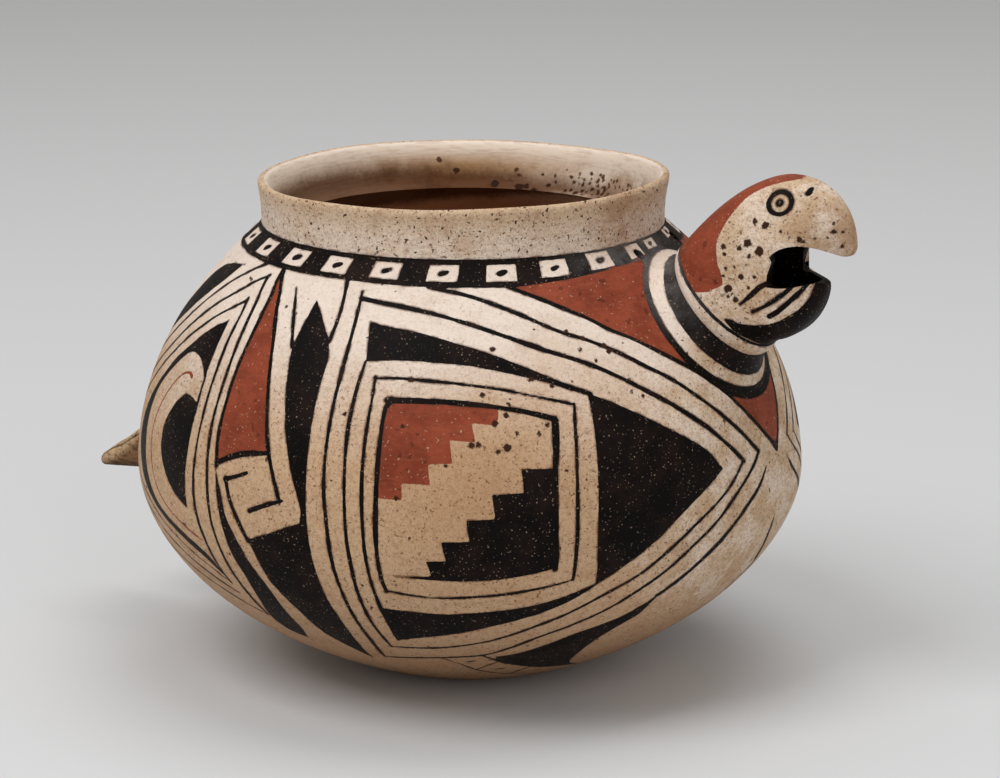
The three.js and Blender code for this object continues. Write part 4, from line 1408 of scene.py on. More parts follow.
@dataclass(frozen=True)
class CordHoles:
    """The two cord holes beside the neck: the azimuth midway between them and how far either lies
    from it, their height, how much they lean up as they leave the wall, and their radius."""

    middle: float = 3.8
    apart: float = 13.2
    height: float = 131.7
    tilt: float = 20.0
    radius: float = 1.8

    def hole(self, side: int) -> Hole:
        """The hole on a side: -1 is the near one."""
        azimuth, tilt = np.radians(self.middle + side * self.apart), np.radians(self.tilt)
        spot = JAR.plain(np.array(azimuth), np.array(self.height))
        axis = (np.cos(tilt) * np.cos(azimuth), np.cos(tilt) * np.sin(azimuth), np.sin(tilt))
        return Hole(tuple(float(v) for v in spot), tuple(float(v) for v in axis), self.radius)


def bridge(near: Array, near_turn: Array, far: Array, far_turn: Array) -> Array:
    """Triangles between two closed loops, both in order of their angle round the same axis.

    Args:
        near: indices of the first loop.
        near_turn: their angles, rising.
        far: indices of the second loop.
        far_turn: their angles, rising.

    Returns:
        Triangles, each with a side on one loop and a corner on the other.
    """
    near_next, far_next = np.roll(near, -1), np.roll(far, -1)
    across = (np.searchsorted(far_turn, np.roll(near_turn, -1), side="left") - 1) % len(far)
    back = (np.searchsorted(near_turn, np.roll(far_turn, -1), side="right") - 1) % len(near)
    return np.concatenate([np.stack([near_next, near, far[across]], axis=-1),
                           np.stack([far, far_next, near[back]], axis=-1)])


@dataclass
class Wall:
    """The jar's dish, coils, collar and lip, cut out of one surface so that their edges agree."""

    form: JarForm = JAR
    joints: tuple[float, ...] = (0.0, 20.0, 32.8, 45.6, 58.4, 71.2, 84.0, 96.8, 125.8, 134.6)
    nodes: tuple[str, ...] = ("base_dish", "wall_coil_1", "wall_coil_2", "wall_coil_3", "wall_coil_4",
                              "wall_coil_5", "wall_coil_6", "shoulder_coil_1", "shoulder_coil_2")
    dish_step: float = 0.85
    deepest: float = 95.0
    hole_edge: float = 0.3
    floor_rows: int = 7
    # The scatter of small spots inside the collar: their number, and where they lie in degrees
    small_spots: int = 70
    small_middle: float = 66.0
    small_spread: float = 11.0

    def heights(self, low: float, high: float, step: float) -> Array:
        """Heights from low to high whose rows are about a step apart along the wall."""
        z = np.linspace(low, high, 400)
        run = np.concatenate([[0.0], np.cumsum(np.hypot(np.diff(z), np.diff(self.form.radius(z))))])
        return np.interp(np.linspace(0, run[-1], int(np.ceil(run[-1] / step)) + 1), run, z)

    def build(self, finish: Material) -> None:
        """Makes every piece of the wall.

        Args:
            finish: the painted slip.
        """
        blocks = [self.heights(a, b, self.dish_step if a == 0 else ROW_STEP)
                  for a, b in zip(self.joints[:-1], self.joints[1:])]
        z = np.concatenate([blocks[0]] + [block[1:] for block in blocks[1:]])
        around, up = np.meshgrid(circle(COLUMNS), z)
        points = self.form.surface(around, self.form.radius(up), up)
        normals = self.normals(points)
        degrees = (np.degrees(around) + 180) % 360 - 180
        paint = painted_jar(degrees.ravel(), up.ravel())
        paint = {name: layer.reshape(up.shape) for name, layer in paint.items()}
        log.info("pattern laid out on %d points", up.size)
        start = 0
        for node, block in zip(self.nodes, blocks):
            rows = slice(start, start + len(block))
            start += len(block) - 1
            self.course(node, block, points[rows], normals[rows],
                        {key: layer[rows] for key, layer in paint.items()}, finish)
        self.mouth(finish)

    def normals(self, points: Array) -> Array:
        """Outward normals of a turned surface, whose points run by row and column."""
        sideways = np.roll(points, -1, axis=1) - np.roll(points, 1, axis=1)
        return unit(np.cross(sideways, np.gradient(points, axis=0)))

    def course(self, node: str, z: Array, outer: Array, normals: Array,
               paint: dict[str, Array], finish: Material) -> None:
        """Makes the dish or a coil: its outside, its inside and its two flat joints.

        Args:
            node: the node that it stands for.
            z: its rows' heights.
            outer: the outside's points, by row and column.
            normals: the outside's normals there.
            paint: the distances to the paints' edges there.
            finish: its material.
        """
        form, low, high = self.form, float(z[0]), float(z[-1])
        floor = form.floor if low == 0 else low
        inner_z = self.heights(floor, high, COARSE_ROW_STEP)
        around, up = np.meshgrid(circle(COARSE_COLUMNS), inner_z)
        inner = form.surface(around, form.inner_radius(up), up)
        inner_normals = -self.normals(inner)
        depth = np.minimum(form.top - up, self.deepest)
        build = Build()
        build.add(outer.reshape(-1, 3), **{key: layer.ravel() for key, layer in paint.items()})
        second = build.add(inner.reshape(-1, 3), inner_mm=depth.ravel())
        skin = grid_quads(len(z), COLUMNS, True)
        lining = grid_quads(len(inner_z), COARSE_COLUMNS, True, second)[:, ::-1]
        top = second + (len(inner_z) - 1) * COARSE_COLUMNS
        ratio = COLUMNS // COARSE_COLUMNS
        c, n = neighbours(COARSE_COLUMNS)
        along = (c[:, None] * ratio + np.arange(ratio + 1)) % COLUMNS
        ends = np.stack([n, c], axis=-1)
        build.faces.append(np.concatenate([(len(z) - 1) * COLUMNS + along, top + ends], axis=1))
        if low > 0:
            build.faces.append(np.concatenate([along, second + ends], axis=1)[:, ::-1])
        else:
            self.close_floor(build, outer[0], inner[0], second)
        cuts = {"shoulder_coil_1": [Hole(tuple(NECK.start), tuple(NECK.axis), NECK.bore)],
                "shoulder_coil_2": [CordHoles().hole(-1), CordHoles().hole(1)]}
        for hole in cuts.get(node, []):
            skin, lining = self.pierce(build, skin, lining, hole)
        build.faces += [skin, lining]
        # The first and last rows, outside and inside, take the wall's own normals, so that no seam shows
        wanted = np.zeros((build.count, 3))
        if low > 0:
            wanted[:COLUMNS] = normals[0]
            wanted[second:second + COARSE_COLUMNS] = inner_normals[0]
        wanted[(len(z) - 1) * COLUMNS:len(z) * COLUMNS] = normals[-1]
        wanted[top:top + COARSE_COLUMNS] = inner_normals[-1]
        place(node, build, finish, Slot.SLIP, wanted)

    def close_floor(self, build: Build, rim: Array, inner: Array, second: int) -> None:
        """Closes the dish below with the flat resting face, and inside with the floor.

        Args:
            build: the dish's build.
            rim: the outside's lowest row.
            inner: the inside's lowest row.
            second: index of the inside's first point.
        """
        scale = np.linspace(1, 0, self.floor_rows + 2)[1:-1, None, None]
        floor_middle = np.array([0.0, 0.0, self.form.floor])
        for edge, start, columns, middle, depth, turn in (
                (rim, 0, COLUMNS, np.zeros(3), 0.0, -1),
                (inner, second, COARSE_COLUMNS, floor_middle, self.deepest, 1)):
            disc = build.add((middle + (edge - middle) * scale).reshape(-1, 3), inner_mm=depth)
            hub = build.add(middle[None], inner_mm=depth)
            c, n = neighbours(columns)
            last = disc + (self.floor_rows - 1) * columns
            for faces in (np.stack([start + c, start + n, disc + n, disc + c], axis=-1),
                          grid_quads(self.floor_rows, columns, True, disc), fan(last, columns, hub)):
                build.faces.append(faces[:, ::turn])

    def pierce(self, build: Build, skin: Array, lining: Array,
               hole: Hole) -> tuple[Array, Array]:
        """Cuts a round hole: cells inside it go, the corners left on its edge move onto the circle,
        and the two edges are joined by the hole's own wall.

        Args:
            build: the coil's build, whose points move.
            skin: the outside's quads.
            lining: the inside's quads.
            hole: the hole.

        Returns:
            The quads that are left, outside and inside.
        """
        points = np.vstack(build.points)
        axis = np.array(hole.axis)
        across = unit(np.cross(axis, [0.0, 0.0, 1.0]))
        upward = np.cross(across, axis)
        off = points - np.array(hole.place)
        along = off @ axis
        x, y = off @ across, off @ upward
        held = (np.hypot(x, y) < hole.radius) & (np.abs(along) < 25)
        loops, kept = [], []
        for quads in (skin, lining):
            cut = held[quads].any(axis=1)
            border = np.intersect1d(quads[cut].ravel(), quads[~cut].ravel())
            turn = np.arctan2(y[border], x[border])
            order = np.argsort(turn)
            border, turn = border[order], turn[order]
            spokes = np.cos(turn)[:, None] * across + np.sin(turn)[:, None] * upward
            points[border] = np.array(hole.place) + along[border, None] * axis + hole.radius * spokes
            loops.append((border, turn))
            kept.append(quads[~cut])
        build.points = [points]
        # The hole's wall is painted black within a short step of both of its edges, as painted shade
        (outer, outer_turn), (inner, inner_turn) = loops
        first = build.add(points[outer] - self.hole_edge * axis, black_mm=FAR) + np.arange(len(outer))
        second = build.add(points[inner] + self.hole_edge * axis, black_mm=FAR) + np.arange(len(inner))
        for near, far in ((outer, first), (second, inner)):
            build.faces.append(np.stack([np.roll(near, -1), near, far, np.roll(far, -1)], axis=-1))
        build.faces.append(bridge(first, outer_turn, second, inner_turn))
        return kept[0], kept[1]

    def spots_inside(self, points: Array) -> Array:
        """Distance to the edge of the spots inside the collar: the ones laid out, and a scatter of
        small ones on the side towards the bird's head."""
        rng = np.random.default_rng(SCATTER_SEED)
        count = self.small_spots
        small = np.stack([rng.normal(self.small_middle, self.small_spread, count),
                          rng.uniform(134.6, 141.5, count), rng.uniform(0.25, 0.6, count)], axis=-1)
        radii, heights = np.array(COLLAR_INSIDE)[::-1].T
        out = np.full(len(points), -FAR)
        for a, z, radius in np.vstack([INNER_SPOTS, small]):
            at = self.form.surface(np.radians([a]), np.interp([z], heights, radii), np.array([z]))
            np.maximum(out, radius - np.linalg.norm(points - at, axis=1), out=out)
        return out

    def mouth(self, finish: Material) -> None:
        """Makes the collar and the lip, whose outside and inside meet along the crown.

        Args:
            finish: the painted slip.
        """
        form = self.form
        outside = through(np.array(COLLAR_OUTSIDE), 0.5)
        throat = (float(form.inner_radius(np.array(form.foot_height))), form.foot_height)
        inside_line = through(np.array(COLLAR_INSIDE[:-1] + (throat,)), 0.6)

        def split(line: Array) -> int:
            return int(np.argmin(np.abs(line[:, 1] - form.collar_top)))

        outside[split(outside), 1] = inside_line[split(inside_line), 1] = form.collar_top
        a, b = split(outside), split(inside_line)
        for node, outer, inner in (("collar_coil", outside[:a + 1], inside_line[b:]),
                                   ("lip_coil", outside[a:], inside_line[1:b + 1])):
            line = np.vstack([outer, inner])
            around = np.broadcast_to(circle(COLUMNS), (len(line), COLUMNS))
            points = form.surface(around, line[:, :1] + 0 * around, line[:, 1:] + 0 * around).reshape(-1, 3)
            depth = np.concatenate([np.zeros(len(outer)), np.maximum(form.top - inner[:, 1], 0.01)])
            # The band's black paint ends a little over the crease
            crease = np.concatenate([form.foot_height + 0.25 - outer[:, 1], np.full(len(inner), -FAR)])
            build = Build()
            build.add(points, inner_mm=np.repeat(depth, COLUMNS), spot_mm=self.spots_inside(points),
                      black_mm=np.repeat(np.clip(crease, -FAR, FAR), COLUMNS))
            build.close_loops(0, len(line), COLUMNS)
            place(node, build, finish, Slot.SLIP)


# Finishes


def linear(color: Color) -> tuple[float, float, float, float]:
    """A display colour of 0 to 255 as the linear colour that Blender mixes with."""
    parts = [v / 255 for v in color]
    return (*(v / 12.92 if v <= 0.04045 else ((v + 0.055) / 1.055) ** 2.4 for v in parts), 1.0)


class Surface:
    """A shader group in the making: a colour, a roughness and a height as functions of the place on
    the jar in mm, and short ways to add its nodes."""

    def __init__(self, name: str) -> None:
        """Starts a group.

        Args:
            name: the group's name.
        """
        self.tree = bpy.data.node_groups.new(name, "ShaderNodeTree")
        for kind, output in (("NodeSocketColor", "Color"), ("NodeSocketFloat", "Roughness"),
                             ("NodeSocketFloat", "Height")):
            self.tree.interface.new_socket(name=output, in_out="OUTPUT", socket_type=kind)
        self.place = self.stretched((1, 1, 1))
        parts = self.node("ShaderNodeSeparateXYZ")
        self.feed(parts.inputs[0], self.place)
        self.forward, self.height = parts.outputs[0], parts.outputs[2]
        self.inner = self.attribute("inner_mm")

    def close(self, *outputs: Socket) -> bpy.types.NodeTree:
        """Ends the group with its colour, roughness and height.

        Returns:
            The group.
        """
        out = self.node("NodeGroupOutput")
        for socket, source in zip(out.inputs, outputs):
            self.feed(socket, source)
        return self.tree

    def node(self, kind: str, **settings: object) -> bpy.types.Node:
        """A new node with its settings."""
        node = self.tree.nodes.new(kind)
        for key, value in settings.items():
            setattr(node, key, value)
        return node

    def feed(self, socket: Socket, source: object) -> None:
        """Links a socket to another, or sets its value."""
        if isinstance(source, Socket):
            self.tree.links.new(source, socket)
        else:
            socket.default_value = source

    def math(self, operation: str, *values: object) -> Socket:
        """A math node."""
        node = self.node("ShaderNodeMath", operation=operation)
        for socket, value in zip(node.inputs, values):
            self.feed(socket, value)
        return node.outputs[0]

    def plus(self, one: object, other: object) -> Socket:
        """One number and another together."""
        return self.math("ADD", one, other)

    def times(self, one: object, other: object) -> Socket:
        """One number times another."""
        return self.math("MULTIPLY", one, other)

    def scaled(self, value: object, factor: float, offset: object) -> Socket:
        """A number times a factor, with an offset on top."""
        return self.math("MULTIPLY_ADD", value, factor, offset)

    def largest(self, first: Socket, *others: Socket) -> Socket:
        """The largest of some numbers."""
        for other in others:
            first = self.math("MAXIMUM", first, other)
        return first

    def step(self, value: object, low: float, high: float, to: float = 1.0) -> Socket:
        """A smooth step of a value, from 0 at low to a number at high."""
        node = self.node("ShaderNodeMapRange", interpolation_type="SMOOTHSTEP")
        for socket, source in zip(node.inputs, (value, low, high, 0.0, to)):
            self.feed(socket, source)
        return node.outputs[0]

    def mix(self, share: object, low: Socket | Color, high: Socket | Color, blend: str = "MIX") -> Socket:
        """A mix of two colours, either of which can be a display colour."""
        node = self.node("ShaderNodeMix", data_type="RGBA", blend_type=blend)
        self.feed(node.inputs[0], share)
        for socket, source in ((node.inputs[6], low), (node.inputs[7], high)):
            self.feed(socket, linear(source) if isinstance(source, tuple) else source)
        return node.outputs[2]

    def blend(self, share: object, low: object, high: object) -> Socket:
        """A mix of two numbers."""
        node = self.node("ShaderNodeMix", data_type="FLOAT")
        for socket, source in zip((node.inputs[0], node.inputs[2], node.inputs[3]), (share, low, high)):
            self.feed(socket, source)
        return node.outputs[0]

    def stretched(self, stretch: Triple) -> Socket:
        """The place on the jar in mm, multiplied along each axis."""
        source = self.node("ShaderNodeTexCoord").outputs["Object"]
        node = self.node("ShaderNodeVectorMath", operation="MULTIPLY")
        self.feed(node.inputs[0], source)
        self.feed(node.inputs[1], tuple(v / MM for v in stretch))
        return node.outputs[0]

    def noise(self, size: float, detail: float, rough: float, shift: float,
              place: Socket | None = None) -> Socket:
        """Noise.

        Args:
            size: about how long its features are, in mm.
            detail: how many finer noises it holds.
            rough: how strong they are, from 0 to 1.
            shift: a number of its own, so that it is like no other noise.
            place: where it is taken, or the place on the jar.

        Returns:
            Its value, mostly between 0.3 and 0.7.
        """
        node = self.node("ShaderNodeTexNoise", noise_dimensions="4D")
        self.feed(node.inputs["Vector"], place or self.place)
        for name, value in (("W", shift), ("Scale", 1 / size), ("Detail", detail), ("Roughness", rough)):
            node.inputs[name].default_value = value
        return node.outputs[0]

    def flecks(self, size: float, low: float, to: float, shift: float) -> Socket:
        """Ragged flecks where a noise rises over a value.

        Args:
            size: the noise's size in mm.
            low: the value.
            to: the share in a fleck, which is 0 outside it.
            shift: the noise's own number.

        Returns:
            The share.
        """
        return self.step(self.noise(size, 1.0, 0.4, shift), low, low + FLECK_EDGE, to)

    def near(self, middle: Triple, radius: float) -> Socket:
        """1 at a point in mm, falling smoothly to 0 at a radius."""
        node = self.node("ShaderNodeVectorMath", operation="DISTANCE")
        self.feed(node.inputs[0], self.place)
        self.feed(node.inputs[1], middle)
        return self.step(node.outputs["Value"], radius, 0.0)

    def attribute(self, name: str) -> Socket:
        """A number carried by the mesh."""
        return self.node("ShaderNodeAttribute", attribute_name=name).outputs["Fac"]


class SlipSurface(Surface):
    """A surface of slip, with the noises and the parts of the jar that its layers share."""

    def __init__(self, slip: "PaintedSlip") -> None:
        """Starts the group.

        Args:
            slip: the finish that it is for.
        """
        super().__init__(slip.name)
        self.streaks = self.noise(0.9, 3, 0.6, 3.0, self.stretched((0.16, 0.16, 1.2)))
        self.broad, self.patchy = self.noise(34, 2, 0.5, 1.0), self.noise(9, 4, 0.6, 2.0)
        self.fine, self.grain = self.noise(1.1, 3, 0.6, 4.0), self.noise(0.42, 2, 0.6, 5.0)
        self.on_collar = self.times(self.step(self.height, *slip.collar),
                                    self.step(self.forward, *slip.collar_front))
        self.on_head = self.step(self.forward, *slip.head)
        # The shoulder, painted pale as lit from above, is cleaner than the rest
        lower = self.largest(self.step(self.height, *slip.clean), self.on_collar)
        self.aged = self.largest(self.scaled(lower, 0.7, 0.3), self.on_head)
        self.thick = self.step(self.patchy, 0.3, 0.55)

    def edge(self, paint: Paint) -> Socket:
        """Distance to a paint's edge in mm, wavy as a brush leaves it."""
        wobble = self.plus(self.scaled(self.noise(2.6, 2, 0.5, 6.0), 0.4, -0.2),
                           self.scaled(self.grain, 0.26, -0.13))
        return self.plus(self.attribute(paint.value), wobble)


@dataclass(frozen=True)
class PaintedSlip:
    """Cream slip over clay, with red and black paint, worn and stained. Fades run between two places
    in mm, and a mark has a middle and a radius in mm."""

    name: str = "Painted slip"
    pale: Color = (228, 213, 200)
    buff: Color = (200, 169, 137)
    sand: Color = (204, 179, 150)
    bone: Color = (224, 206, 188)
    tan: Color = (180, 142, 106)
    stain: Color = (142, 100, 66)
    red: Color = (146, 70, 48)
    deep_red: Color = (120, 53, 36)
    faded_red: Color = (164, 92, 66)
    rust: Color = (92, 54, 38)
    burnt: Color = (56, 34, 23)
    scorch: Color = (92, 62, 42)
    black: Color = (12, 9, 8)
    brown_black: Color = (36, 23, 18)
    sheen_grey: Color = (98, 94, 92)
    throat_shade: Color = (122, 96, 78)
    lining: Color = (178, 140, 102)
    inside: Color = (192, 138, 100)
    deep: Color = (160, 112, 82)
    # Up the jar: where the shoulder, painted paler as lit from above, turns buff, the collar starts, its
    # rim turns sandy, the clean slip of the shoulder ends and painted shade makes the foot darker
    shoulder: Fade = (146.0, 106.0)
    collar: Fade = (132.5, 137.0)
    collar_rim: Fade = (148.0, 139.0)
    clean: Fade = (118.0, 88.0)
    foot: Fade = (52.0, 6.0)
    # Along X: where the collar ends, the head starts, and the inside is paler on the right, as painted
    # light, and on the left
    collar_front: Fade = (74.0, 66.0)
    head: Fade = (78.0, 88.0)
    lit_inside_right: Fade = (-28.0, 26.0)
    pale_left: Fade = (-30.0, -62.0)
    # Down the inside, under the lip: where the crown's pale line of wear and painted highlight fades,
    # where the slip thins, where it ends, where painted shade makes the bare clay below it darker, and
    # where the painted shade in the throat starts and ends
    lip: Fade = (0.2, 1.6)
    thins: Fade = (2.0, 8.0)
    ends: Fade = (17.5, 26.0)
    shade_deepens: Fade = (26.0, 70.0)
    throat_shade_starts: Fade = (9.2, 15.6)
    throat_shade_ends: Fade = (20.0, 16.0)
    # The paint's own edges
    soft_edge: Fade = (-0.14, 0.12)
    black_edge: Fade = (-0.1, 0.12)
    fringe: Fade = (-0.6, -0.1)
    spot_edge: Fade = (-0.3, 0.2)
    # Single marks: a warm patch low on the near side, painted shade on the collar's side towards the
    # head, the rubbed beak, the polished shoulder with its painted sheen and the speckled slip by the neck
    warmed: Mark = ((46.6, -87.7, 76.0), 46.0)
    collar_shade_at: Mark = ((57.0, -13.0, 141.0), 22.0)
    rubbed: Mark = ((124.0, -6.0, 136.0), 22.0)
    burnish_sheen_at: Mark = ((64.0, -12.0, 130.0), 36.0)
    speckled: Mark = ((90.0, -20.0, 112.0), 20.0)

    def group(self) -> bpy.types.NodeTree:
        """The shader group: the painted outside, the inside, and the burnt spots over both."""
        g = SlipSurface(self)
        red_mm, black_mm = g.edge(Paint.RED), g.edge(Paint.BLACK)
        on_red, on_black = g.step(red_mm, *self.soft_edge), g.step(black_mm, *self.black_edge)
        # Painted sheen near the neck: a pale shine mixed over the black, where the paint is also polished
        # and smoother
        burnish_sheen = g.times(g.near(*self.burnish_sheen_at), g.step(g.noise(7, 4, 0.6, 9.0), 0.25, 0.65, 0.9))
        small_spots = g.times(g.flecks(0.8, 0.64, 0.7, 13.0), g.times(g.thick, g.aged))
        worn = g.times(g.flecks(0.6, 0.675, 0.4, 18.0), g.thick)

        color = g.mix(on_red, self.cream_layer(g, small_spots), self.red_layer(g))
        fringe = g.times(g.step(black_mm, *self.fringe), g.step(g.noise(5, 3, 0.6, 19.0), 0.42, 0.6, 0.75))
        color = g.mix(fringe, color, self.rust)
        color = g.mix(on_black, color, self.black_layer(g, burnish_sheen, worn))
        # How far down the inside a point is, made ragged
        ragged = g.scaled(g.plus(g.fine, g.patchy), 2.4, g.inner)
        color = g.mix(g.step(g.inner, 0.0, 0.4), color, self.inside_layer(g, ragged))
        charred = g.mix(g.step(g.inner, 0.0, 1.0), self.burnt, self.scorch)
        spot_mm = g.plus(g.attribute(Paint.SPOT.value), g.scaled(g.fine, 1.8, -0.85))
        color = g.mix(g.step(spot_mm, *self.spot_edge), color, charred)
        # Painted shade in the throat, in a band that narrows towards the head
        sunk, risen = g.scaled(g.forward, -0.06, ragged), g.scaled(g.forward, 0.1, ragged)
        throat = g.times(g.step(sunk, *self.throat_shade_starts, 0.95), g.step(risen, *self.throat_shade_ends))
        color = g.mix(throat, color, self.throat_shade, "MULTIPLY")

        rough = g.blend(on_red, 0.56, 0.5)
        rough = g.blend(on_black, rough, g.scaled(burnish_sheen, -0.2, 0.54))
        rough = g.plus(rough, g.scaled(g.fine, 0.24, -0.12))
        pits = g.times(g.plus(small_spots, worn), -0.5)
        relief = g.scaled(g.grain, 0.16, g.scaled(g.fine, 0.3, pits))
        relief = g.plus(relief, g.times(g.streaks, 0.35))
        return g.close(color, rough, relief)

    def cream_layer(self, g: SlipSurface, small_spots: Socket) -> Socket:
        """The cream slip, pale on the shoulder as painted light, buff below it, sandy on collar and head.

        Args:
            g: the surface.
            small_spots: the share of its small spots.

        Returns:
            Its colour.
        """
        # Painted light: paler on the shoulder, which faces the light from above, and buff below
        cream = g.mix(g.step(g.scaled(g.broad, 50.0, g.height), *self.shoulder), self.pale, self.buff)
        cream = g.mix(g.on_collar, cream, g.mix(g.step(g.height, *self.collar_rim), self.sand, self.bone))
        cream = g.mix(g.on_head, cream, g.mix(g.step(g.patchy, 0.36, 0.6), self.bone, self.sand))
        stained = g.times(g.step(g.noise(15, 5, 0.62, 8.0), 0.57, 0.76), 0.4)
        # Painted shade on the collar's side towards the head, mixed in with the stain colour
        collar_shade = g.times(g.near(*self.collar_shade_at), g.step(g.patchy, 0.3, 0.66, 0.5))
        rubbed = g.times(g.near(*self.rubbed), g.step(g.patchy, 0.3, 0.6, 0.6))
        burnt_by = g.largest(g.on_collar, g.step(g.near(*self.speckled), 0.1, 0.5))
        for share, color in (
                (g.times(g.aged, g.step(g.patchy, 0.46, 0.74, 0.5)), self.tan),
                (g.times(g.aged, g.step(g.streaks, 0.46, 0.66, 0.26)), self.tan),
                (g.times(g.near(*self.warmed), 0.7), self.tan),
                # Real stains and the rubbed beak, with painted shade on the foot and on the collar's side
                # towards the head
                (g.largest(stained, g.step(g.height, *self.foot, 0.55), collar_shade, rubbed), self.stain),
                (g.times(g.aged, g.step(g.fine, 0.45, 0.66, 0.36)), self.stain),
                (g.times(g.aged, g.step(g.grain, 0.5, 0.66, 0.5)), self.stain),
                (small_spots, self.rust),
                (g.flecks(2.2, 0.745, 0.9, 14.0), self.burnt),
                (g.times(burnt_by, g.flecks(1.25, 0.66, 0.95, 15.0)), self.burnt)):
            cream = g.mix(share, cream, color)
        return cream

    def red_layer(self, g: SlipSurface) -> Socket:
        """The colour of the red paint on a surface: patchy, streaked and flecked."""
        red = g.mix(g.step(g.patchy, 0.35, 0.7), self.red, self.deep_red)
        for share, color in ((g.step(g.streaks, 0.48, 0.68, 0.25), self.faded_red),
                             (g.step(g.fine, 0.5, 0.7, 0.35), self.rust),
                             (g.step(g.grain, 0.5, 0.68, 0.4), self.rust),
                             (g.flecks(2.4, 0.68, 0.5, 16.0), self.burnt),
                             (g.flecks(0.75, 0.69, 0.5, 17.0), self.sand)):
            red = g.mix(share, red, color)
        return red

    def black_layer(self, g: SlipSurface, burnish_sheen: Socket, worn: Socket) -> Socket:
        """The black paint.

        Args:
            g: the surface.
            burnish_sheen: the share of its painted sheen, where the paint is also polished.
            worn: the share of the specks where it is worn through.

        Returns:
            Its colour.
        """
        black = g.mix(g.step(g.patchy, 0.4, 0.72, 0.8), self.black, self.brown_black)
        for share, color in ((burnish_sheen, self.sheen_grey), (g.step(g.fine, 0.6, 0.84, 0.4), self.rust),
                             (worn, self.sand)):
            black = g.mix(share, black, color)
        return black

    def inside_layer(self, g: SlipSurface, ragged: Socket) -> Socket:
        """The inside: the slip ends at the throat, and the bare clay is darker deeper down as painted shade.

        Args:
            g: the surface.
            ragged: depth under the lip in mm, made ragged.

        Returns:
            Its colour.
        """
        # Painted light makes the lining paler towards the head; it is partly paler on the far left too
        aside = g.largest(g.step(g.forward, *self.lit_inside_right), g.step(g.forward, *self.pale_left, 0.6))
        blotch = g.step(g.noise(13, 5, 0.62, 12.0), 0.46, 0.62, 0.7)
        # A pale line along the lip's crown: part worn edge, part painted highlight
        lining = g.mix(g.step(g.inner, *self.lip), self.pale, self.bone)
        for share, color in ((g.step(g.inner, *self.thins), g.mix(aside, self.lining, self.bone)),
                             (g.times(blotch, g.step(g.inner, 2.0, 9.0)), self.stain),
                             (g.step(g.streaks, 0.46, 0.68, 0.25), self.stain),
                             (g.step(ragged, *self.ends), self.inside),
                             # Painted shade: the bare clay turns darker deeper in the jar
                             (g.step(g.inner, *self.shade_deepens), self.deep)):
            lining = g.mix(share, lining, color)
        return lining


@dataclass(frozen=True)
class BareClay:
    """The lug's unslipped clay: tan, paler along its crest, darker at its tip and below, with dark
    cracks. Fades run between two places in mm."""

    name: str = "Bare clay"
    tan: Color = (132, 99, 69)
    pale: Color = (198, 166, 130)
    dark: Color = (52, 36, 26)
    fall: float = -0.761
    crest: Fade = (141.5, 147.0)
    below: Fade = (53.0, 47.0)
    cracks: Fade = (0.2, 0.7)

    def group(self) -> bpy.types.NodeTree:
        """The shader group."""
        g = Surface(self.name)
        patchy, grain = g.noise(7, 4, 0.62, 1.0), g.noise(0.6, 3, 0.6, 2.0)
        strokes = g.noise(1.4, 3, 0.6, 3.0, g.stretched((0.2, 1, 1)))
        # How far a point lies over a line that falls outwards along the lug's top
        over = g.scaled(g.forward, self.fall, g.height)
        color = g.mix(g.step(g.scaled(patchy, 3.0, over), *self.crest), self.tan, self.pale)
        for share in (g.step(strokes, 0.46, 0.66, 0.6),
                      g.step(g.scaled(patchy, 8.0, g.height), *self.below, 0.7),
                      g.step(grain, 0.46, 0.66, 0.5),
                      g.flecks(1.4, 0.66, 0.5, 5.0),
                      g.step(g.inner, *self.cracks, 0.95)):
            color = g.mix(share, color, self.dark)
        rough = g.scaled(grain, 0.2, 0.6)
        return g.close(color, rough, g.scaled(grain, 0.3, g.times(strokes, 0.6)))


def worn_by(group: bpy.types.NodeTree, name: str) -> Material:
    """A material whose look is a shader group.

    Args:
        group: the group, with a colour, a roughness and a height.
        name: the material's name.

    Returns:
        The material.
    """
    material = bpy.data.materials.new(name)
    material.use_nodes = True
    tree = material.node_tree
    shader = tree.nodes["Principled BSDF"]
    shader.inputs["Specular IOR Level"].default_value = SPECULAR
    surface = tree.nodes.new("ShaderNodeGroup")
    surface.node_tree = group
    bump = tree.nodes.new("ShaderNodeBump")
    bump.inputs["Strength"].default_value = BUMP_STRENGTH
    bump.inputs["Distance"].default_value = BUMP_MM * MM
    for source, socket in ((surface.outputs["Height"], bump.inputs["Height"]),
                           (surface.outputs["Color"], shader.inputs["Base Color"]),
                           (surface.outputs["Roughness"], shader.inputs["Roughness"]),
                           (bump.outputs["Normal"], shader.inputs["Normal"])):
        tree.links.new(source, socket)
    return material


# Camera, light and floor


@dataclass(frozen=True)
class Lamp:
    """A square soft lamp that faces the jar: its place and its size in metres, and its power in W."""

    name: str
    place: Triple
    size: float
    power: float


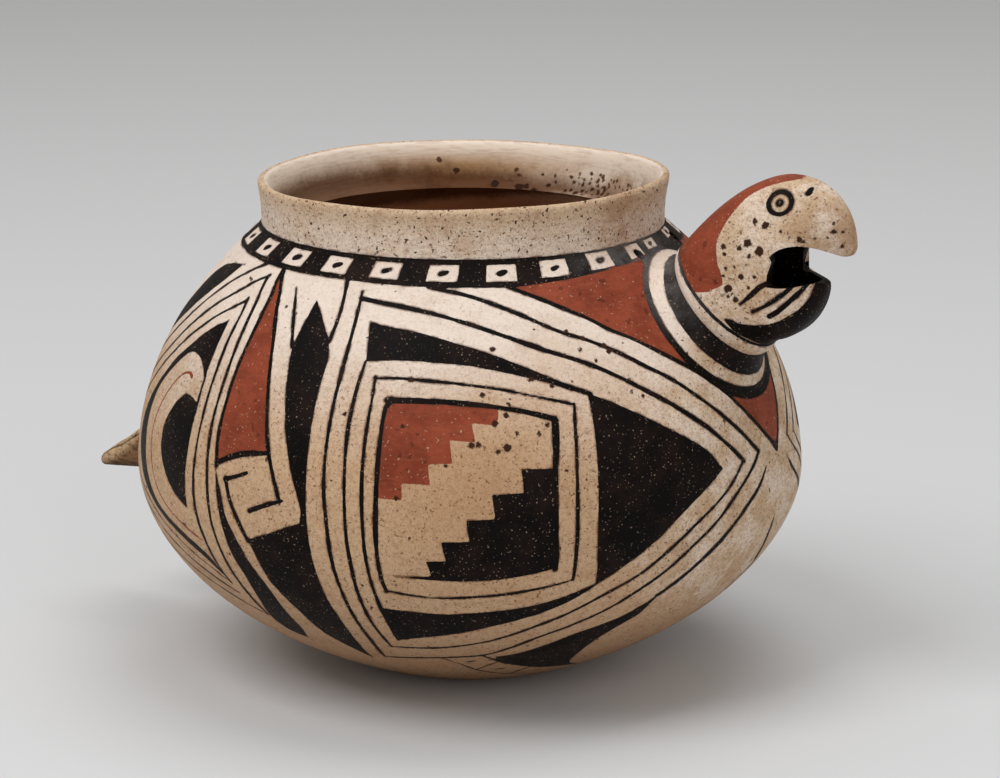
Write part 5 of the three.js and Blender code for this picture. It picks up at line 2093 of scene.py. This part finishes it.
@dataclass(frozen=True)
class Studio:
    """The camera, the soft lamps, and the pale floor that catches the shadow. Angles are in degrees
    and lengths in metres."""

    azimuth: float = 27.0
    elevation: float = 13.62
    distance: float = 1.15
    target: Triple = (0.00809, 0.00412, 0.0825)
    lens: float = 136.6
    far: float = 50.0
    lamps: tuple[Lamp, ...] = (Lamp("Key", (-0.45, -1.0, 1.5), 1.0, 16.0),
                               Lamp("Fill", (1.4, -0.9, 0.9), 1.3, 6.5),
                               Lamp("Top", (0.1, 0.35, 1.7), 1.2, 11.0))
    lit_height: float = 0.09
    floor_color: Color = (208, 209, 211)
    floor_reach: float = 6.0
    floor_roughness: float = 0.85
    sky_color: Color = (241, 238, 233)
    sky_strength: float = 0.42

    def build(self) -> None:
        """Makes everything round the jar."""
        scene = bpy.context.scene
        scene.view_settings.view_transform = "Standard"
        a, e = np.radians(self.azimuth), np.radians(self.elevation)
        back = Vector((np.sin(a) * np.cos(e), -np.cos(a) * np.cos(e), np.sin(e)))
        camera = bpy.data.objects.new("Camera", bpy.data.cameras.new("Camera"))
        camera.location = Vector(self.target) + back * self.distance
        camera.rotation_euler = back.to_track_quat("Z", "Y").to_euler()
        camera.data.lens = self.lens
        camera.data.clip_end = self.far
        scene.collection.objects.link(camera)
        scene.camera = camera
        for lamp in self.lamps:
            self.hang(lamp)
        self.floor()
        world = bpy.data.worlds.new("World")
        scene.world = world
        world.use_nodes = True
        sky = world.node_tree.nodes["Background"]
        sky.inputs["Color"].default_value = linear(self.sky_color)
        sky.inputs["Strength"].default_value = self.sky_strength
        log.info("camera, %d lamps and floor", len(self.lamps))

    def hang(self, lamp: Lamp) -> None:
        """Puts a lamp in the scene."""
        light = bpy.data.lights.new(lamp.name, "AREA")
        light.size = lamp.size
        light.energy = lamp.power
        piece = bpy.data.objects.new(lamp.name, light)
        piece.location = lamp.place
        aim = Vector(lamp.place) - Vector((0, 0, self.lit_height))
        piece.rotation_euler = aim.to_track_quat("Z", "Y").to_euler()
        bpy.context.scene.collection.objects.link(piece)

    def floor(self) -> None:
        """Makes the pale floor."""
        mesh = bpy.data.meshes.new("Floor")
        r = self.floor_reach
        mesh.from_pydata([(-r, -r, 0), (r, -r, 0), (r, r, 0), (-r, r, 0)], [], [(0, 1, 2, 3)])
        floor = bpy.data.objects.new("Floor", mesh)
        bpy.context.scene.collection.objects.link(floor)
        material = bpy.data.materials.new("Floor")
        material.use_nodes = True
        shader = material.node_tree.nodes["Principled BSDF"]
        shader.inputs["Base Color"].default_value = linear(self.floor_color)
        shader.inputs["Roughness"].default_value = self.floor_roughness
        mesh.materials.append(material)


def main() -> None:
    """Builds the jar, piece by piece, and its surroundings."""
    logging.basicConfig(level=logging.INFO, format="%(name)s: %(message)s")
    painted = PaintedSlip().group()
    slip, black = worn_by(painted, "Cream slip"), worn_by(painted, "Black paint")
    Wall().build(slip)
    Neck().build(slip, black)
    Head().build(slip, black)
    Tail().build(worn_by(BareClay().group(), "Bare clay"))
    Studio().build()


if __name__ == "__main__":
    main()
